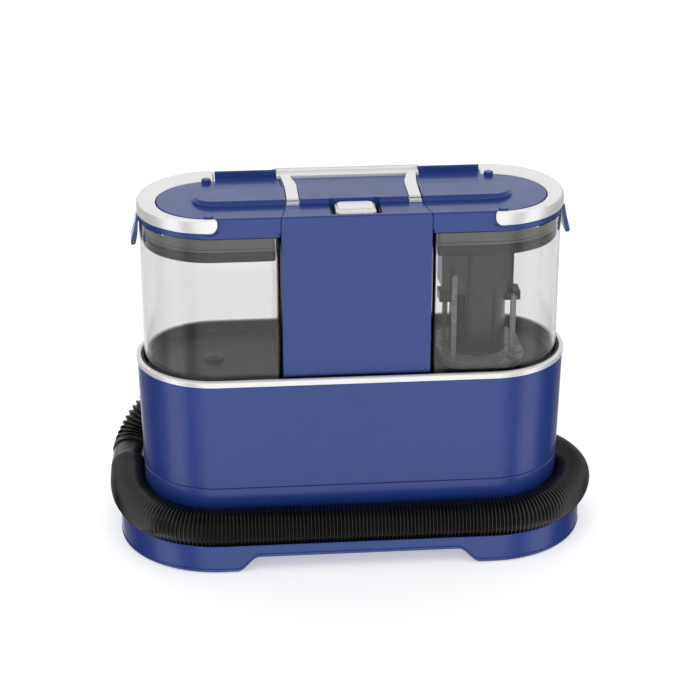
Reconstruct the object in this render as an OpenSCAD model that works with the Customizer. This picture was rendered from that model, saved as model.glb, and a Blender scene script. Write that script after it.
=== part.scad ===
// Portable carpet and upholstery cleaner: two clear lift-out tanks beside a centre column,
// on a low housing whose base carries the wrapped suction hose.
// Origin on the floor under the centre of the base. +X to the dirty tank, +Y to the rear, +Z up.

/* [Base] */
// Half of the distance between the centres of the two rounded ends
end_c = 108.5; // [106:0.5:111]
// Radius of the base plate's ends, half its depth
base_r = 81.8; // [81.5:0.1:84]
// Height of the base plate's rim
base_rim_z = 24.2; // [23:0.1:25]
// Height of the arch under the middle of the base
arch_z = 13.4; // [10:0.1:14]
// Radius of the pedestal that the hose is wound around
pedestal_r = 53; // [50:0.5:53]

/* [Housing] */
// Height of the joint between skirt and lower housing
housing_z0 = 64.8; // [60:0.1:68]
// Height of the lower housing's top edge
housing_z1 = 154; // [150:0.5:156]
// Radius of the housing at its top edge, half its depth
housing_r = 62.8; // [62.4:0.1:64]
// Wall thickness of the moulded housing
wall = 2.6; // [2:0.1:2.8]
// Height of the trim ring
ring_h = 5; // [4:0.1:6]

/* [Tanks] */
// Radius of a tank's rounded end, half its depth
tank_r = 57; // [56:0.1:57.4]
// Distance from the middle of the machine to a tank's flat inner side
tank_x0 = 58.5; // [58.2:0.1:60]
// Wall thickness of a clear tank
tank_wall = 2.2; // [1.8:0.1:2.6]
// Height of a tank's underside
tank_z0 = 148.5; // [148:0.1:150]
// Height of a tank's rim
tank_z1 = 274.3; // [270:0.1:276]

/* [Lids and handles] */
// Height of the lids' flat top
lid_z = 290.7; // [290:0.1:291.5]
// Height of the raised band along the lids
band_z = 294.9; // [293:0.1:295.4]
// Radius at which the silver bail handle starts
bail_ri = 43.6; // [42:0.1:46]
// Outer radius of the bail handle
bail_ro = 58.8; // [57.5:0.1:59.2]
// Half width between the carry handle's arms
arm_x0 = 42.2; // [40:0.1:43]
// Half width over the carry handle's arms
arm_x1 = 51; // [48:0.1:51.3]

/* [Hose] */
// Outer diameter of the suction hose
hose_d = 31.5; // [28:0.5:31.5]
// Diameter of the coarse-ribbed boot where the hose leaves the machine
boot_d = 35; // [34:0.5:36]

/* [Hidden] */

$fn = 48;
eps = 0.01;
fit = 0.25;                  // gap between moulded parts
run = 0.05;                  // radial clearance of a pin in its bore
end_steps = 24;              // straight pieces round each rounded end

// Colours
blue = [0.11, 0.19, 0.48];
silver = [0.86, 0.86, 0.87];
black = [0.05, 0.05, 0.055];
dark = [0.14, 0.14, 0.15];
clear = [0.85, 0.88, 0.9, 0.3];
steel = [0.7, 0.71, 0.72];
rubber = [0.09, 0.09, 0.09];

// Housing
ring_z1 = housing_z1 + ring_h;
well_r = housing_r - wall - 0.2;
well_floor_z = tank_z0 - 2.5;
well_t = 1.9;
column_x = tank_x0 - 1.5;
cover_x = tank_x0 - 1.2;
deck_z0 = lid_z - 4.7;
front_y = -tank_r;
rear_gap_x = 57.1;           // half width of the gap for the rear cover

// Hand tool and the recess that holds it
tool_y = 77;
recess_x = 46.5;
recess_y = 50;
cover_z0 = 66;
grip_r = 15;
neck_z = 198;
mouth_z = 270;
trigger_y = tool_y + 20;
trigger_z = 180;

// Inside
motor_y = -8;
fan_z0 = 116;
fan_h = 34;
fan_r = 43;
shaft_r = 4;
motor_z1 = 216;
chassis_z = housing_z0 - 0.2;
inlet_x = 101.5;              // dirty water inlet
outlet_x = -110;             // clean water outlet

// Lids
lid_x0 = tank_x0 - 0.6;
lid_z0 = tank_z1 + 0.3;
flange_z = 279.2;
top_y = -12.3;               // the top's rounded end is nearer the front
pivot_x = 111.2;
pivot_z = 285.2;
bail_half = 5.7;             // half height of the bail handle
pin_r = 2.2;
latch_x = 165.2;
latch_z = 277.4;
latch_w = 22;
arm_y0 = -28.9;
arm_z = 292.95;
arm_half = 2.0;
arm_pin_r = 1.2;

// Power button
button_y = -40.6;
button_w = 31;
button_d = 24.2;
button_z = 293;

// Hose route: from the port behind the left end, once round the pedestal, up to the tool
port_pos = [-80, 84, 98];
hose_path = [
    [-98.5, 84, 98], [-109, 84, 97.6], [-120, 84, 96.5], [-132.5, 84, 92.5], [-145.5, 83, 84],
    [-157.5, 80, 73.5], [-168.5, 74, 61.5], [-176, 65, 50.5], [-180, 53, 43.5], [-182, 38, 40.4],
    [-182.4, 20, 39.4], [-182, 2, 38.4], [-179, -16, 37.8], [-172, -34, 37.4], [-162, -49, 37.2],
    [-148.5, -59.4, 36.4], [-131, -66.7, 35.4], [-112, -69.1, 34.8], [-84, -69, 34.6],
    [-56, -69, 34.6], [-28, -69, 34.6], [0, -69, 34.6], [28, -69, 34.6], [56, -69, 34.6],
    [84, -69, 34.6], [112, -69.1, 34.8], [131, -66.7, 35.4], [148.5, -59.4, 36.4], [163, -48.5, 37.6],
    [174, -33, 38.3], [180.5, -17, 38.8], [183, 0, 39], [180.5, 17, 38.8], [174, 33, 38.3],
    [163, 48, 37.6], [148, 59, 36.6], [131, 66, 35.6], [112, 69, 34.8], [89, 69.5, 34.8],
    [66, 70.5, 36], [44, 73, 42], [24, 75.5, 54], [9, 76.8, 70], [2.4, 77, 82], [0.2, 77, 92],
    [0, 77, 100], [0, 77, 108]
];
boot_steps = 8;              // stretches of the route that the boot covers

// ---------- functions ----------

// Outline of a slot shape: two half circles of radius r, c either side of the middle
function slot_shape(c, r) = concat(
    [for (i = [0:end_steps]) let (a = -90 + 180 * i / end_steps) [c + r * cos(a), r * sin(a)]],
    [for (i = [0:end_steps]) let (a = 90 + 180 * i / end_steps) [-c + r * cos(a), r * sin(a)]]
);

// Outline of the right-hand tank: flat at x0, round at the outer end
function tank_shape(x0, r) = concat(
    [[x0, -r]],
    [for (i = [0:end_steps]) let (a = -90 + 180 * i / end_steps) [end_c + r * cos(a), r * sin(a)]],
    [[x0, r]]
);

function round_rect(w, d, r) = [
    for (q = [0:3]) for (i = [0:4])
        let (a = 90 * q + 22.5 * i, sx = (q == 0 || q == 3) ? 1 : -1, sy = q < 2 ? 1 : -1)
        [sx * (w / 2 - r) + r * cos(a), sy * (d / 2 - r) + r * sin(a)]
];

function unit(v) = v / norm(v);

// A point on the smooth curve through a route, at step j of n between points i and i + 1
function on_curve(p, i, t) = let (
    a = p[max(i - 1, 0)], b = p[i], c = p[i + 1], d = p[min(i + 2, len(p) - 1)]
) 0.5 * (2 * b + (c - a) * t + (2 * a - 5 * b + 4 * c - d) * t * t
    + (3 * b - a - 3 * c + d) * t * t * t);

function smooth_route(p, n) = concat(
    [for (i = [0:len(p) - 2]) for (j = [0:n - 1]) on_curve(p, i, j / n)],
    [p[len(p) - 1]]
);

function tangents(p) = [
    for (i = [0:len(p) - 1]) unit(p[min(i + 1, len(p) - 1)] - p[max(i - 1, 0)])
];

function carried(t, i, u) = i == len(t) ? [] :
    let (v = unit(u - (u * t[i]) * t[i])) concat([v], carried(t, i + 1, v));

// ---------- shapes ----------

// Round tube along a path, from its point i0 to its point i1
module tube(path, r, sides = 12, i0 = 0, i1 = undef) {
    t = tangents(path);
    u = carried(t, 0, abs(t[0].z) > 0.9 ? [1, 0, 0] : [0, 0, 1]);
    last = is_undef(i1) ? len(path) - 1 : i1;
    n = last - i0 + 1;
    points = [for (i = [i0:last]) for (k = [0:sides - 1])
        path[i] + r * (cos(360 * k / sides) * u[i] + sin(360 * k / sides) * cross(t[i], u[i]))];
    sides_of = [for (i = [0:n - 2]) for (k = [0:sides - 1]) let (m = (k + 1) % sides)
        [i * sides + k, (i + 1) * sides + k, (i + 1) * sides + m, i * sides + m]];
    first_cap = [[for (k = [0:sides - 1]) k]];
    last_cap = [[for (k = [0:sides - 1]) n * sides - 1 - k]];
    polyhedron(points, concat(first_cap, last_cap, sides_of));
}

// Closed solid through outlines that all have the same number of points: [[outline, z], ...]
module loft(sections) {
    m = len(sections[0][0]);
    n = len(sections);
    points = [for (s = sections) for (p = s[0]) [p.x, p.y, s[1]]];
    sides_of = [for (i = [0:n - 2]) for (k = [0:m - 1]) let (j = (k + 1) % m)
        [i * m + k, (i + 1) * m + k, (i + 1) * m + j, i * m + j]];
    first_cap = [[for (k = [0:m - 1]) k]];
    last_cap = [[for (k = [0:m - 1]) n * m - 1 - k]];
    polyhedron(points, concat(first_cap, last_cap, sides_of), convexity = 6);
}

// Slot-shaped solid whose half length and radius change with height: [[c, r, z], ...]
module slot_loft(rows) {
    loft([for (s = rows) [slot_shape(s[0], s[1]), s[2]]]);
}

module prism(outline, z0, z1) {
    translate([0, 0, z0])
        linear_extrude(z1 - z0)
            polygon(outline);
}

// Box between two corners
module block(a, b) {
    translate(a)
        cube(b - a);
}

// Cylinder along X or Y, starting at p
module x_rod(p, length, r) {
    translate(p)
        rotate([0, 90, 0])
            cylinder(h = length, r = r);
}

module y_rod(p, length, r) {
    translate(p)
        rotate([-90, 0, 0])
            cylinder(h = length, r = r);
}

// Profile in the X-Z plane extruded along Y
module y_prism(outline, y0, y1) {
    translate([0, y1, 0])
        rotate([90, 0, 0])
            linear_extrude(y1 - y0)
                polygon(outline);
}

// Profile in the Y-Z plane extruded along X
module x_prism(outline, x0, x1) {
    translate([x0, 0, 0])
        rotate([90, 0, 90])
            linear_extrude(x1 - x0)
                polygon(outline);
}

// ---------- base ----------

trough_r = 68.9;             // where the hose lies in the base
trough_z = 34.5;
trough_d = 33;
base_floor_z = 14.5;
base_z0 = 1;
foot_x = 140;
foot_y = 42;
foot_r = 9;
screw_places = [[-120, 0], [120, 0], [-80, 32], [80, 32], [-80, -32], [80, -32]];

function trough_half(z) = sqrt(pow(trough_d / 2, 2) - pow(trough_z - z, 2));

module arch_cut() {
    steps = 8;
    rise = [for (i = [0:steps]) let (t = i / steps)
        [-97 + 17 * t, arch_z * (0.5 - 0.5 * cos(180 * t))]];
    fall = [for (i = [0:steps]) [-rise[steps - i].x, rise[steps - i].y]];
    y_prism(concat([[-97, -2]], rise, fall, [[97, -2]]), -base_r - 5, base_r + 5);
}

module base_plate() color(blue) difference() {
    slot_loft([
        [end_c, base_r - 1, base_z0], [end_c, base_r - 0.2, 3], [end_c, base_r, 6],
        [end_c, base_r, 20], [end_c, base_r - 0.3, base_rim_z]
    ]);
    // hollow underside, with four bosses left for the feet
    difference() {
        slot_loft([[end_c, base_r - 3.4, -1], [end_c, base_r - 3.4, base_floor_z]]);
        for (x = [-foot_x, foot_x], y = [-foot_y, foot_y])
            translate([x, y, -2])
                cylinder(h = 20, r = foot_r + 2.5, $fn = 32);
    }
    for (x = [-foot_x, foot_x], y = [-foot_y, foot_y])
        translate([x, y, -1])
            cylinder(h = 5, r = foot_r + 0.15, $fn = 32);
    // trough that the hose lies in
    difference() {
        slot_loft([for (z = [18.6, 19.2, 20, 21, 22.4, base_rim_z + 0.4])
            [end_c, trough_r + trough_half(z), z]]);
        slot_loft([for (z = [18.5, 19.2, 20, 21, 22.4, base_rim_z + 0.5])
            [end_c, trough_r - trough_half(z), z]]);
    }
    arch_cut();
    for (p = screw_places)
        translate([p.x, p.y, 0])
            cylinder(h = 40, r = 2.1, $fn = 24);
}

module rubber_feet() color(rubber)
    for (x = [-foot_x, foot_x], y = [-foot_y, foot_y])
        translate([x, y, 0])
            cylinder(h = 3.9, r = foot_r);

module base_screws() color(steel)
    for (p = screw_places)
        translate([p.x, p.y, 0]) {
            translate([0, 0, base_floor_z - 2.4])
                cylinder(h = 2.4, r = 3.6);
            translate([0, 0, base_floor_z - eps])
                cylinder(h = 14, r = 1.8);
        }

// Pedestal inside the wound hose, with the skirt that flares out above it
module hose_pedestal() color(blue) difference() {
    slot_loft([
        [112, pedestal_r, base_rim_z + 0.1], [112, pedestal_r, 40], [111.5, 54.2, 44],
        [110.5, 57, 50], [109.2, 59.6, 57], [end_c, 60.8, chassis_z]
    ]);
    slot_loft([
        [110, pedestal_r - 9, base_rim_z - 1], [110, pedestal_r - 9, base_rim_z + 3]
    ]);
    slot_loft([
        [112, pedestal_r - wall, base_rim_z + 2.9], [112, pedestal_r - wall, 40],
        [111.5, 51.4, 44.4], [110.5, 54, 50.8], [end_c, 57.5, chassis_z - 3]
    ]);
    for (p = screw_places)
        translate([p.x, p.y, 0])
            cylinder(h = 40, r = 2.1, $fn = 24);
}

// ---------- lower housing ----------

grille_x0 = 62;
grille_x1 = 102;
grille_z0 = 84;
grille_z1 = 124;
gland_x = 82;
gland_z = 74.5;

module rear_gap(z0, z1) {
    block([-rear_gap_x, recess_y - 4, z0], [rear_gap_x, 90, z1]);
}

module lower_housing() color(blue) difference() {
    slot_loft([
        [end_c, 60.9, housing_z0], [end_c, 61.6, 100], [end_c, 62.4, 140],
        [end_c, housing_r, housing_z1]
    ]);
    slot_loft([
        [end_c, 60.9 - wall, housing_z0 - 1], [end_c, 61.6 - wall, 100],
        [end_c, well_r + 0.2, 138], [end_c, well_r + 0.2, housing_z1 + 1]
    ]);
    rear_gap(housing_z0 - 2, housing_z1 + 2);
    block([grille_x0, 40, grille_z0], [grille_x1, 80, grille_z1]);
    translate([port_pos.x, 40, port_pos.z])
        rotate([-90, 0, 0])
            cylinder(h = 40, r = 18.2);
    translate([gland_x, 40, gland_z])
        rotate([-90, 0, 0])
            cylinder(h = 40, r = 6.2);
}

module trim_ring() color(silver) difference() {
    slot_loft([
        [end_c, housing_r + 0.6, housing_z1 + 0.1], [end_c, housing_r + 0.6, ring_z1 - 1.2],
        [end_c, housing_r - 0.4, ring_z1]
    ]);
    slot_loft([[end_c, well_r + 0.15, housing_z1 - 1], [end_c, well_r + 0.15, ring_z1 + 1]]);
    rear_gap(housing_z1 - 2, ring_z1 + 2);
}

module tank_well() color(black) difference() {
    prism(slot_shape(end_c, well_r), well_floor_z - 2.5, ring_z1 - 0.5);
    prism(slot_shape(end_c, well_r - well_t), well_floor_z, ring_z1 + 1);
    // openings in the floor for the motor, the dirty water inlet and the clean water outlet
    translate([0, motor_y, 0])
        cylinder(h = 200, r = fan_r + 1);
    translate([inlet_x, 0, 0])
        cylinder(h = 200, r = 16.3);
    translate([outlet_x, 0, 0])
        cylinder(h = 200, r = 12.2);
    rear_gap(well_floor_z - 5, ring_z1 + 2);
}

module exhaust_grille() color(dark) difference() {
    block([grille_x0 + fit, 57.6, grille_z0 + fit], [grille_x1 - fit, 61.4, grille_z1 - fit]);
    for (i = [0:6])
        block([grille_x0 + 3, 50, grille_z0 + 3 + 5 * i], [grille_x1 - 3, 70, grille_z0 + 6 + 5 * i]);
}

module exhaust_filter() color([0.3, 0.3, 0.31])
    block([grille_x0 + 1, 49, grille_z0 + 1], [grille_x1 - 1, 57.4, grille_z1 - 1]);

// Round gland that the mains lead leaves through
module mains_gland() color(dark) difference() {
    union() {
        y_rod([gland_x, 56, gland_z], 12, 6);
        y_rod([gland_x, 61.8, gland_z], 3, 8.6);
    }
    y_rod([gland_x, 50, gland_z], 30, 3.6);
}

// ---------- centre column ----------

module column_frame() color(dark) difference() {
    block([-column_x, -54.1, well_floor_z + 0.1], [column_x, 54.4, deck_z0 - 0.1]);
    block([-column_x + 2.4, -51.6, well_floor_z - 1], [column_x - 2.4, 80, deck_z0 + 1]);
    block([-20, -60, 275], [20, -50, deck_z0 + 1]);
}

module centre_cover() color(blue) difference() {
    union() {
        block([-cover_x, front_y, ring_z1 + 0.3], [cover_x, -54.3, deck_z0 + 1]);
        x_prism([
            [front_y, deck_z0], [tank_r, deck_z0], [tank_r, lid_z - 0.6], [tank_r - 0.6, lid_z],
            [front_y + 2.2, lid_z], [front_y + 0.6, lid_z - 0.7], [front_y, lid_z - 2.2]
        ], -cover_x, cover_x);
    }
    block([-19.5, button_y - button_d / 2 - fit, deck_z0 - 1],
          [19.5, button_y + button_d / 2 + fit, lid_z + 1]);
}

// Raised blue panel between the carry handle's arms
module centre_panel() color(blue) difference() {
    union() {
        block([-arm_x0 + 0.5, -31.4, lid_z], [arm_x0 - 0.5, 1.9, band_z]);
        prism([[-arm_x0 + 0.5, 1.8], [arm_x0 - 0.5, 1.8], [arm_x0 + 3, 29.6], [-arm_x0 - 3, 29.6]],
              lid_z, lid_z + 0.8);
    }
    block([-19.5, -40, lid_z - 1], [19.5, button_y + button_d / 2 + fit, band_z + 1]);
    for (x = [-arm_x0, arm_x0 - 6])
        x_rod([x, arm_y0, arm_z], 6, arm_pin_r + run);
}

module button_bezel() color(black) difference() {
    block([-19.3, button_y - button_d / 2, 276], [19.3, button_y + button_d / 2, lid_z - 1]);
    block([-17.5, button_y - button_d, 278], [17.5, button_y + button_d, lid_z + 1]);
    translate([0, button_y, 270])
        cylinder(h = 10, r = 3.2);
}

module power_button() color(silver) {
    x0 = button_w / 2;
    y0 = button_y - button_d / 2 + fit / 2;
    y1 = button_y + button_d / 2 - fit / 2;
    c = 3;
    prism([
        [-x0 + c, y0], [x0 - c, y0], [x0, y0 + c], [x0, y1 - c],
        [x0 - c, y1], [-x0 + c, y1], [-x0, y1 - c], [-x0, y0 + c]
    ], 284, button_z);
    translate([0, button_y, 276.4])
        cylinder(h = 8, r = 3);
}

module button_spring() color(steel)
    translate([0, button_y, 278.1])
        difference() {
            cylinder(h = 5.8, r = 5.2);
            translate([0, 0, -1])
                cylinder(h = 9, r = 4);
        }

module power_switch() color(black)
    block([-9, button_y - 7, 260], [9, button_y + 7, 274.2]);

module control_board() color([0.08, 0.3, 0.16]) {
    block([-40, -50.9, 222], [40, -49.3, 256]);
    for (x = [-30, -12, 10])
        block([x, -49.31, 228], [x + 12, -43, 246]);
    translate([30, -49.31, 238])
        rotate([-90, 0, 0])
            cylinder(h = 8, r = 5);
}

module carry_handle() color(silver) difference() {
    union() {
        for (s = [-1, 1]) {
            prism([
                [s * arm_x0, arm_y0], [s * arm_x1, arm_y0], [s * arm_x1, 2],
                [s * 56.5, 36.1], [s * 47, 36.1], [s * arm_x0, 4]
            ], arm_z - arm_half, arm_z + arm_half);
            x_rod([s > 0 ? arm_x0 : -arm_x1, arm_y0, arm_z], arm_x1 - arm_x0, arm_half);
        }
        x_prism([
            [30, arm_z - arm_half], [tank_r - 0.5, arm_z - arm_half], [tank_r - 0.8, 291.4],
            [41.6, 296.6], [40.6, 296.3], [39.9, 294.3], [30.5, 293.7], [30, 293.2]
        ], -56.5, 56.5);
    }
    // finger hollow under the grip
    x_prism([[36, 290], [50, 290], [47, 292.2], [38, 292.2]], -45, 45);
    x_rod([-60, arm_y0, arm_z], 120, arm_pin_r + run);
}

module carry_handle_pins() color(steel)
    for (x = [-arm_x1, arm_x0 - 5.5])
        x_rod([x, arm_y0, arm_z], arm_x1 - arm_x0 + 5.5, arm_pin_r);

// ---------- rear cover with the tool recess ----------

module rear_cover() color(blue) difference() {
    union() {
        block([-recess_x - wall, recess_y - wall, cover_z0], [recess_x + wall, 57, deck_z0 - 0.2]);
        block([-recess_x - wall, 56, cover_z0], [recess_x + wall, 62, ring_z1]);
        block([-56.8, 54.6, ring_z1 - 2.4], [56.8, 57, deck_z0 - 0.2]);
        block([-56.8, 59.6, cover_z0], [56.8, 62, ring_z1]);
        block([-56.8, 54.6, ring_z1 - 2.4], [56.8, 62, ring_z1]);
    }
    block([-recess_x, recess_y, cover_z0 - 1], [recess_x, 80, deck_z0 - 2.6]);
    // row of air slots above the tool
    for (i = [0:5])
        block([-36 + 13 * i, 30, 274], [-29 + 13 * i, 45, 277]);
    for (x = [-53, 53], z = [76, 140])
        y_rod([x, 50, z], 20, 2.1);
}

module rear_cover_screws() color(steel)
    for (x = [-53, 53], z = [76, 140]) {
        y_rod([x, 50, z], 12.2, 1.8);
        y_rod([x, 62.05, z], 2, 3.4);
    }

module tool_clip() color(dark) difference() {
    union() {
        translate([0, tool_y, 160])
            cylinder(h = 14, r = grip_r + 3.2);
        block([-8, recess_y + 0.05, 160], [8, tool_y - grip_r, 174]);
    }
    translate([0, tool_y, 150])
        cylinder(h = 40, r = grip_r + 0.3);
    block([-30, tool_y + 4, 150], [30, 110, 190]);
}

// ---------- suction and pump, inside the housing ----------

module vacuum_motor() color(steel) difference() {
    union() {
        translate([0, motor_y, fan_z0 + fan_h + 0.1])
            cylinder(h = motor_z1 - fan_z0 - fan_h, r = 31);
        translate([0, motor_y, motor_z1])
            cylinder(h = 8, r = 12);
    }
    translate([0, motor_y, 100])
        cylinder(h = 110 + 8, r = shaft_r + run);
}

module fan_housing() color(dark) difference() {
    translate([0, motor_y, fan_z0])
        cylinder(h = fan_h, r = fan_r);
    translate([0, motor_y, fan_z0 + 2.4])
        cylinder(h = fan_h - 4.8, r = fan_r - 2.4);
    translate([0, motor_y, fan_z0 - 1])
        cylinder(h = 6, r = 16);
    translate([0, motor_y, fan_z0 + fan_h - 5])
        cylinder(h = 10, r = 8);
}

module motor_mounts() color(rubber)
    for (x = [-24, 24], y = [-36, 24])
        translate([x, y, chassis_z + 0.05])
            cylinder(h = fan_z0 - chassis_z - 0.1, r = 5);

module fan_impeller() color(steel) difference() {
    translate([0, motor_y, 0]) {
        translate([0, 0, 121])
            cylinder(h = 2, r = 38);
        translate([0, 0, 121])
            cylinder(h = 20, r = 9);
        for (i = [0:8])
            rotate([0, 0, 40 * i])
                block([8, -0.8, 122.9], [37.5, 0.8, 138]);
    }
    translate([0, motor_y, 110])
        cylinder(h = 40, r = shaft_r + 0.02);
}

module motor_shaft() color(steel)
    translate([0, motor_y, 119])
        cylinder(h = 97, r = shaft_r);

module water_pump() color(dark) {
    x_rod([-142, -27, 84], 50, 16);
    block([-136, -40, chassis_z + 0.05], [-98, -14, 78]);
    x_rod([-92.1, -27, 84], 5, 4.8);
    translate([-110, -27, 98])
        cylinder(h = 6, r = 4.8);
}

module pump_inlet_tube() color([0.75, 0.75, 0.75])
    tube(smooth_route([
        [-110, 0, 134.8], [-110, 0, 126], [-110, -6, 117], [-110, -20, 113], [-110, -27, 110],
        [-110, -27, 104.7]
    ], 3), 3.5, 10);

module pump_outlet_tube() color([0.75, 0.75, 0.75])
    tube(smooth_route([
        [-86.4, -27, 84], [-84, -27, 84.2], [-79.5, -25, 90], [-80, -18, 100], [-88, -4, 107],
        [-100, 14, 104], [-108, 28, 100], [-106, 38, 98], [-97.2, 41, 98]
    ], 3), 3.5, 10);

// Cup under the clean tank that its outlet seats in
module valve_socket() color(dark) difference() {
    union() {
        translate([outlet_x, 0, 135])
            cylinder(h = 13.2, r = 12);
        translate([outlet_x, 0, well_floor_z + 0.05])
            cylinder(h = 2.2, r = 14);
    }
    translate([outlet_x, 0, 137.5])
        cylinder(h = 20, r = 9.2);
}

duct_path = [
    [-80, 58.2, 98], [-80, 42, 98], [-76, 24, 95], [-62, 8, 90], [-42, 2, 86], [-18, 0, 84],
    [20, 0, 84], [58, 0, 84], [82, 0, 86], [95.5, 0, 97], [101.5, 0, 114], [101.5, 0, 130],
    [101.5, 0, 142.9]
];

module suction_duct() color(dark) difference() {
    tube(smooth_route(duct_path, 2), 16, 16);
    tube(smooth_route(concat([[-80, 61, 98]], duct_path, [[101.5, 0, 146]]), 2), 14, 16);
}

// ---------- tanks ----------

module tank_shell() difference() {
    prism(tank_shape(tank_x0, tank_r), tank_z0, tank_z1);
    prism(tank_shape(tank_x0 + tank_wall, tank_r - tank_wall), tank_z0 + 2.5, tank_z1 + 1);
    children();
}

module clean_tank() color(clear) {
    mirror([1, 0, 0])
        tank_shell()
            translate([-outlet_x, 0, 140])
                cylinder(h = 20, r = 4.3);
    // outlet spout under the floor
    translate([outlet_x, 0, 141])
        difference() {
            cylinder(h = tank_z0 - 141 + eps, r = 8.6);
            translate([0, 0, -1])
                cylinder(h = 20, r = 6.4);
        }
}

// Spring valve that closes the clean tank's outlet
module clean_valve() color(rubber) {
    translate([outlet_x, 0, tank_z0 + 2.55])
        cylinder(h = 2.4, r = 8);
    translate([outlet_x, 0, 142])
        cylinder(h = 12, r = 3);
}

module dirty_tank() color(clear)
    tank_shell()
        translate([inlet_x, 0, 140])
            cylinder(h = 20, r = 15.5);

// Pipe that dirty water rises through, with the hood that turns it down into the tank
standpipe_r = 22.8;
standpipe_z0 = tank_z0 + 2.55;
hood_x0 = 70;
hood_x1 = 127;
hood_y = 19;
hood_z0 = 208;
hood_z1 = 253.4;
hood_wall = 2;

module dirty_standpipe() color(dark) difference() {
    union() {
        translate([inlet_x, 0, standpipe_z0])
            cylinder(h = hood_z1 - standpipe_z0, r1 = standpipe_r, r2 = standpipe_r - 1);
        difference() {
            block([hood_x0, -hood_y, hood_z0], [hood_x1, hood_y, hood_z1]);
            block([hood_x0 + hood_wall, -hood_y + hood_wall, hood_z0 - 1],
                  [hood_x1 - hood_wall, hood_y - hood_wall, hood_z1 - hood_wall]);
        }
        // bar under the hood that steadies the float's rails
        block([hood_x0, -8, 197.5], [135, 8, 205]);
    }
    translate([inlet_x, 0, standpipe_z0 - 1])
        cylinder(h = hood_z1 - standpipe_z0 - 2, r = 16);
    // windows between the pipe and both ends of the hood
    block([hood_x0 + hood_wall, -10, 232], [hood_x1 - hood_wall, 10, 246]);
}

// Float round the standpipe, with rails that shut the air outlet when the tank is full
float_rails = [[79, 228], [126, 210]];

module dirty_float() color(clear) difference() {
    union() {
        translate([inlet_x + 2, 0, 0])
            prism(round_rect(68, 74, 16), tank_z0 + 2.8, tank_z0 + 8);
        for (rail = float_rails, y = [-27, 27])
            block([rail[0] - 2, y - 2, 154], [rail[0] + 2, y + 2, rail[1]]);
    }
    translate([inlet_x, 0, 140])
        cylinder(h = 100, r = standpipe_r + 0.6);
}

// ---------- lids ----------

rail_profile = [
    [36.5, lid_z - 1], [tank_r - 0.4, lid_z - 1], [tank_r - 4, lid_z + 0.1], [39, 296], [37.4, 296.4],
    [36.5, 295.6]
];

function band_shape() = concat(
    [[52, -31.4]],
    [for (i = [0:12]) let (a = -90 + 15 * i) [107.4 + 16.6 * cos(a), -14.75 + 16.65 * sin(a)]],
    [[52, 1.9]]
);

// Block with the outline of the top's rounded end
module top_shape(r, x0, z0, z1)
    translate([0, top_y, 0])
        prism(tank_shape(x0, r), z0, z1);

module lid_body() difference() {
    union() {
        prism(tank_shape(lid_x0, tank_r), lid_z0, flange_z);
        // top, cut back round the outer end to make room for the bail handle
        top_shape(bail_ri - 0.9, lid_x0, flange_z - 1, lid_z);
        block([lid_x0, -tank_r, flange_z - 1], [pivot_x - 6.1, tank_r, lid_z]);
        prism(band_shape(), lid_z + 0.2, band_z);
        top_shape(1, lid_x0, lid_z - 1, lid_z + 0.3);
        block([lid_x0, -31, lid_z - 1], [lid_x0 + 40, 1.5, lid_z + 0.3]);
        x_prism(rail_profile, lid_x0, 104.6);
    }
    // hollow inside
    top_shape(bail_ri - 4, lid_x0 + 2.4, lid_z0 - 1, lid_z - 2.6);
    block([lid_x0 + 2.4, -tank_r + 2.4, lid_z0 - 1], [pivot_x - 9, tank_r - 2.4, lid_z - 2.6]);
    // pin holes
    for (s = [-1, 1])
        y_rod([pivot_x, s > 0 ? 19.5 : -60, pivot_z], s > 0 ? 35 : 21, pin_r + run);
    // notch for the latch, and its two pivot holes
    block([latch_x - 1.7, -latch_w / 2 - 0.3, lid_z0 - 1], [180, latch_w / 2 + 0.3, flange_z + 1]);
    y_rod([latch_x, -latch_w / 2 - 1.6, latch_z], latch_w + 3.2, 0.8 + run);
}

module lid_plug() difference() {
    prism(tank_shape(tank_x0 + 3.8, tank_r - 3.8), 262.6, lid_z0 - 0.05);
    prism(tank_shape(tank_x0 + 6.4, tank_r - 6.4), 265, lid_z0 + 1);
}

module lid_seal() difference() {
    prism(tank_shape(tank_x0 + 3, tank_r - 3), 254.6, 262.5);
    prism(tank_shape(tank_x0 + 7, tank_r - 7), 254, 263);
}

// Silver bail handle round the outer end, lying flat at rest
module bail_handle() difference() {
    union() {
        for (s = [-1, 1])
            y_rod([pivot_x, s > 0 ? bail_ri + top_y : -bail_ro + 0.6, pivot_z],
                  bail_ro - 0.6 - bail_ri - s * top_y, bail_half);
        difference() {
            loft([
                [half_ring_shape(bail_ro), pivot_z - bail_half],
                [half_ring_shape(bail_ro - 0.4), pivot_z - bail_half + 3],
                [half_ring_shape(bail_ro - 2.6), pivot_z + 4],
                [half_ring_shape(bail_ro - 4.4), pivot_z + bail_half]
            ]);
            top_shape(bail_ri, 80, pivot_z - 10, pivot_z + 20);
        }
    }
    y_rod([pivot_x, -70, pivot_z], 140, pin_r + run);
}

function half_ring_shape(r) = concat(
    [[pivot_x, -r]],
    [for (i = [1:end_steps - 1]) let (a = -90 + 180 * i / end_steps)
        [max(pivot_x, end_c + r * cos(a)), r * sin(a)]],
    [[pivot_x, r]]
);

module bail_pins()
    for (s = [-1, 1])
        y_rod([pivot_x, s > 0 ? 20 : -57.6, pivot_z], s > 0 ? 34 : 18, pin_r);

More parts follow.
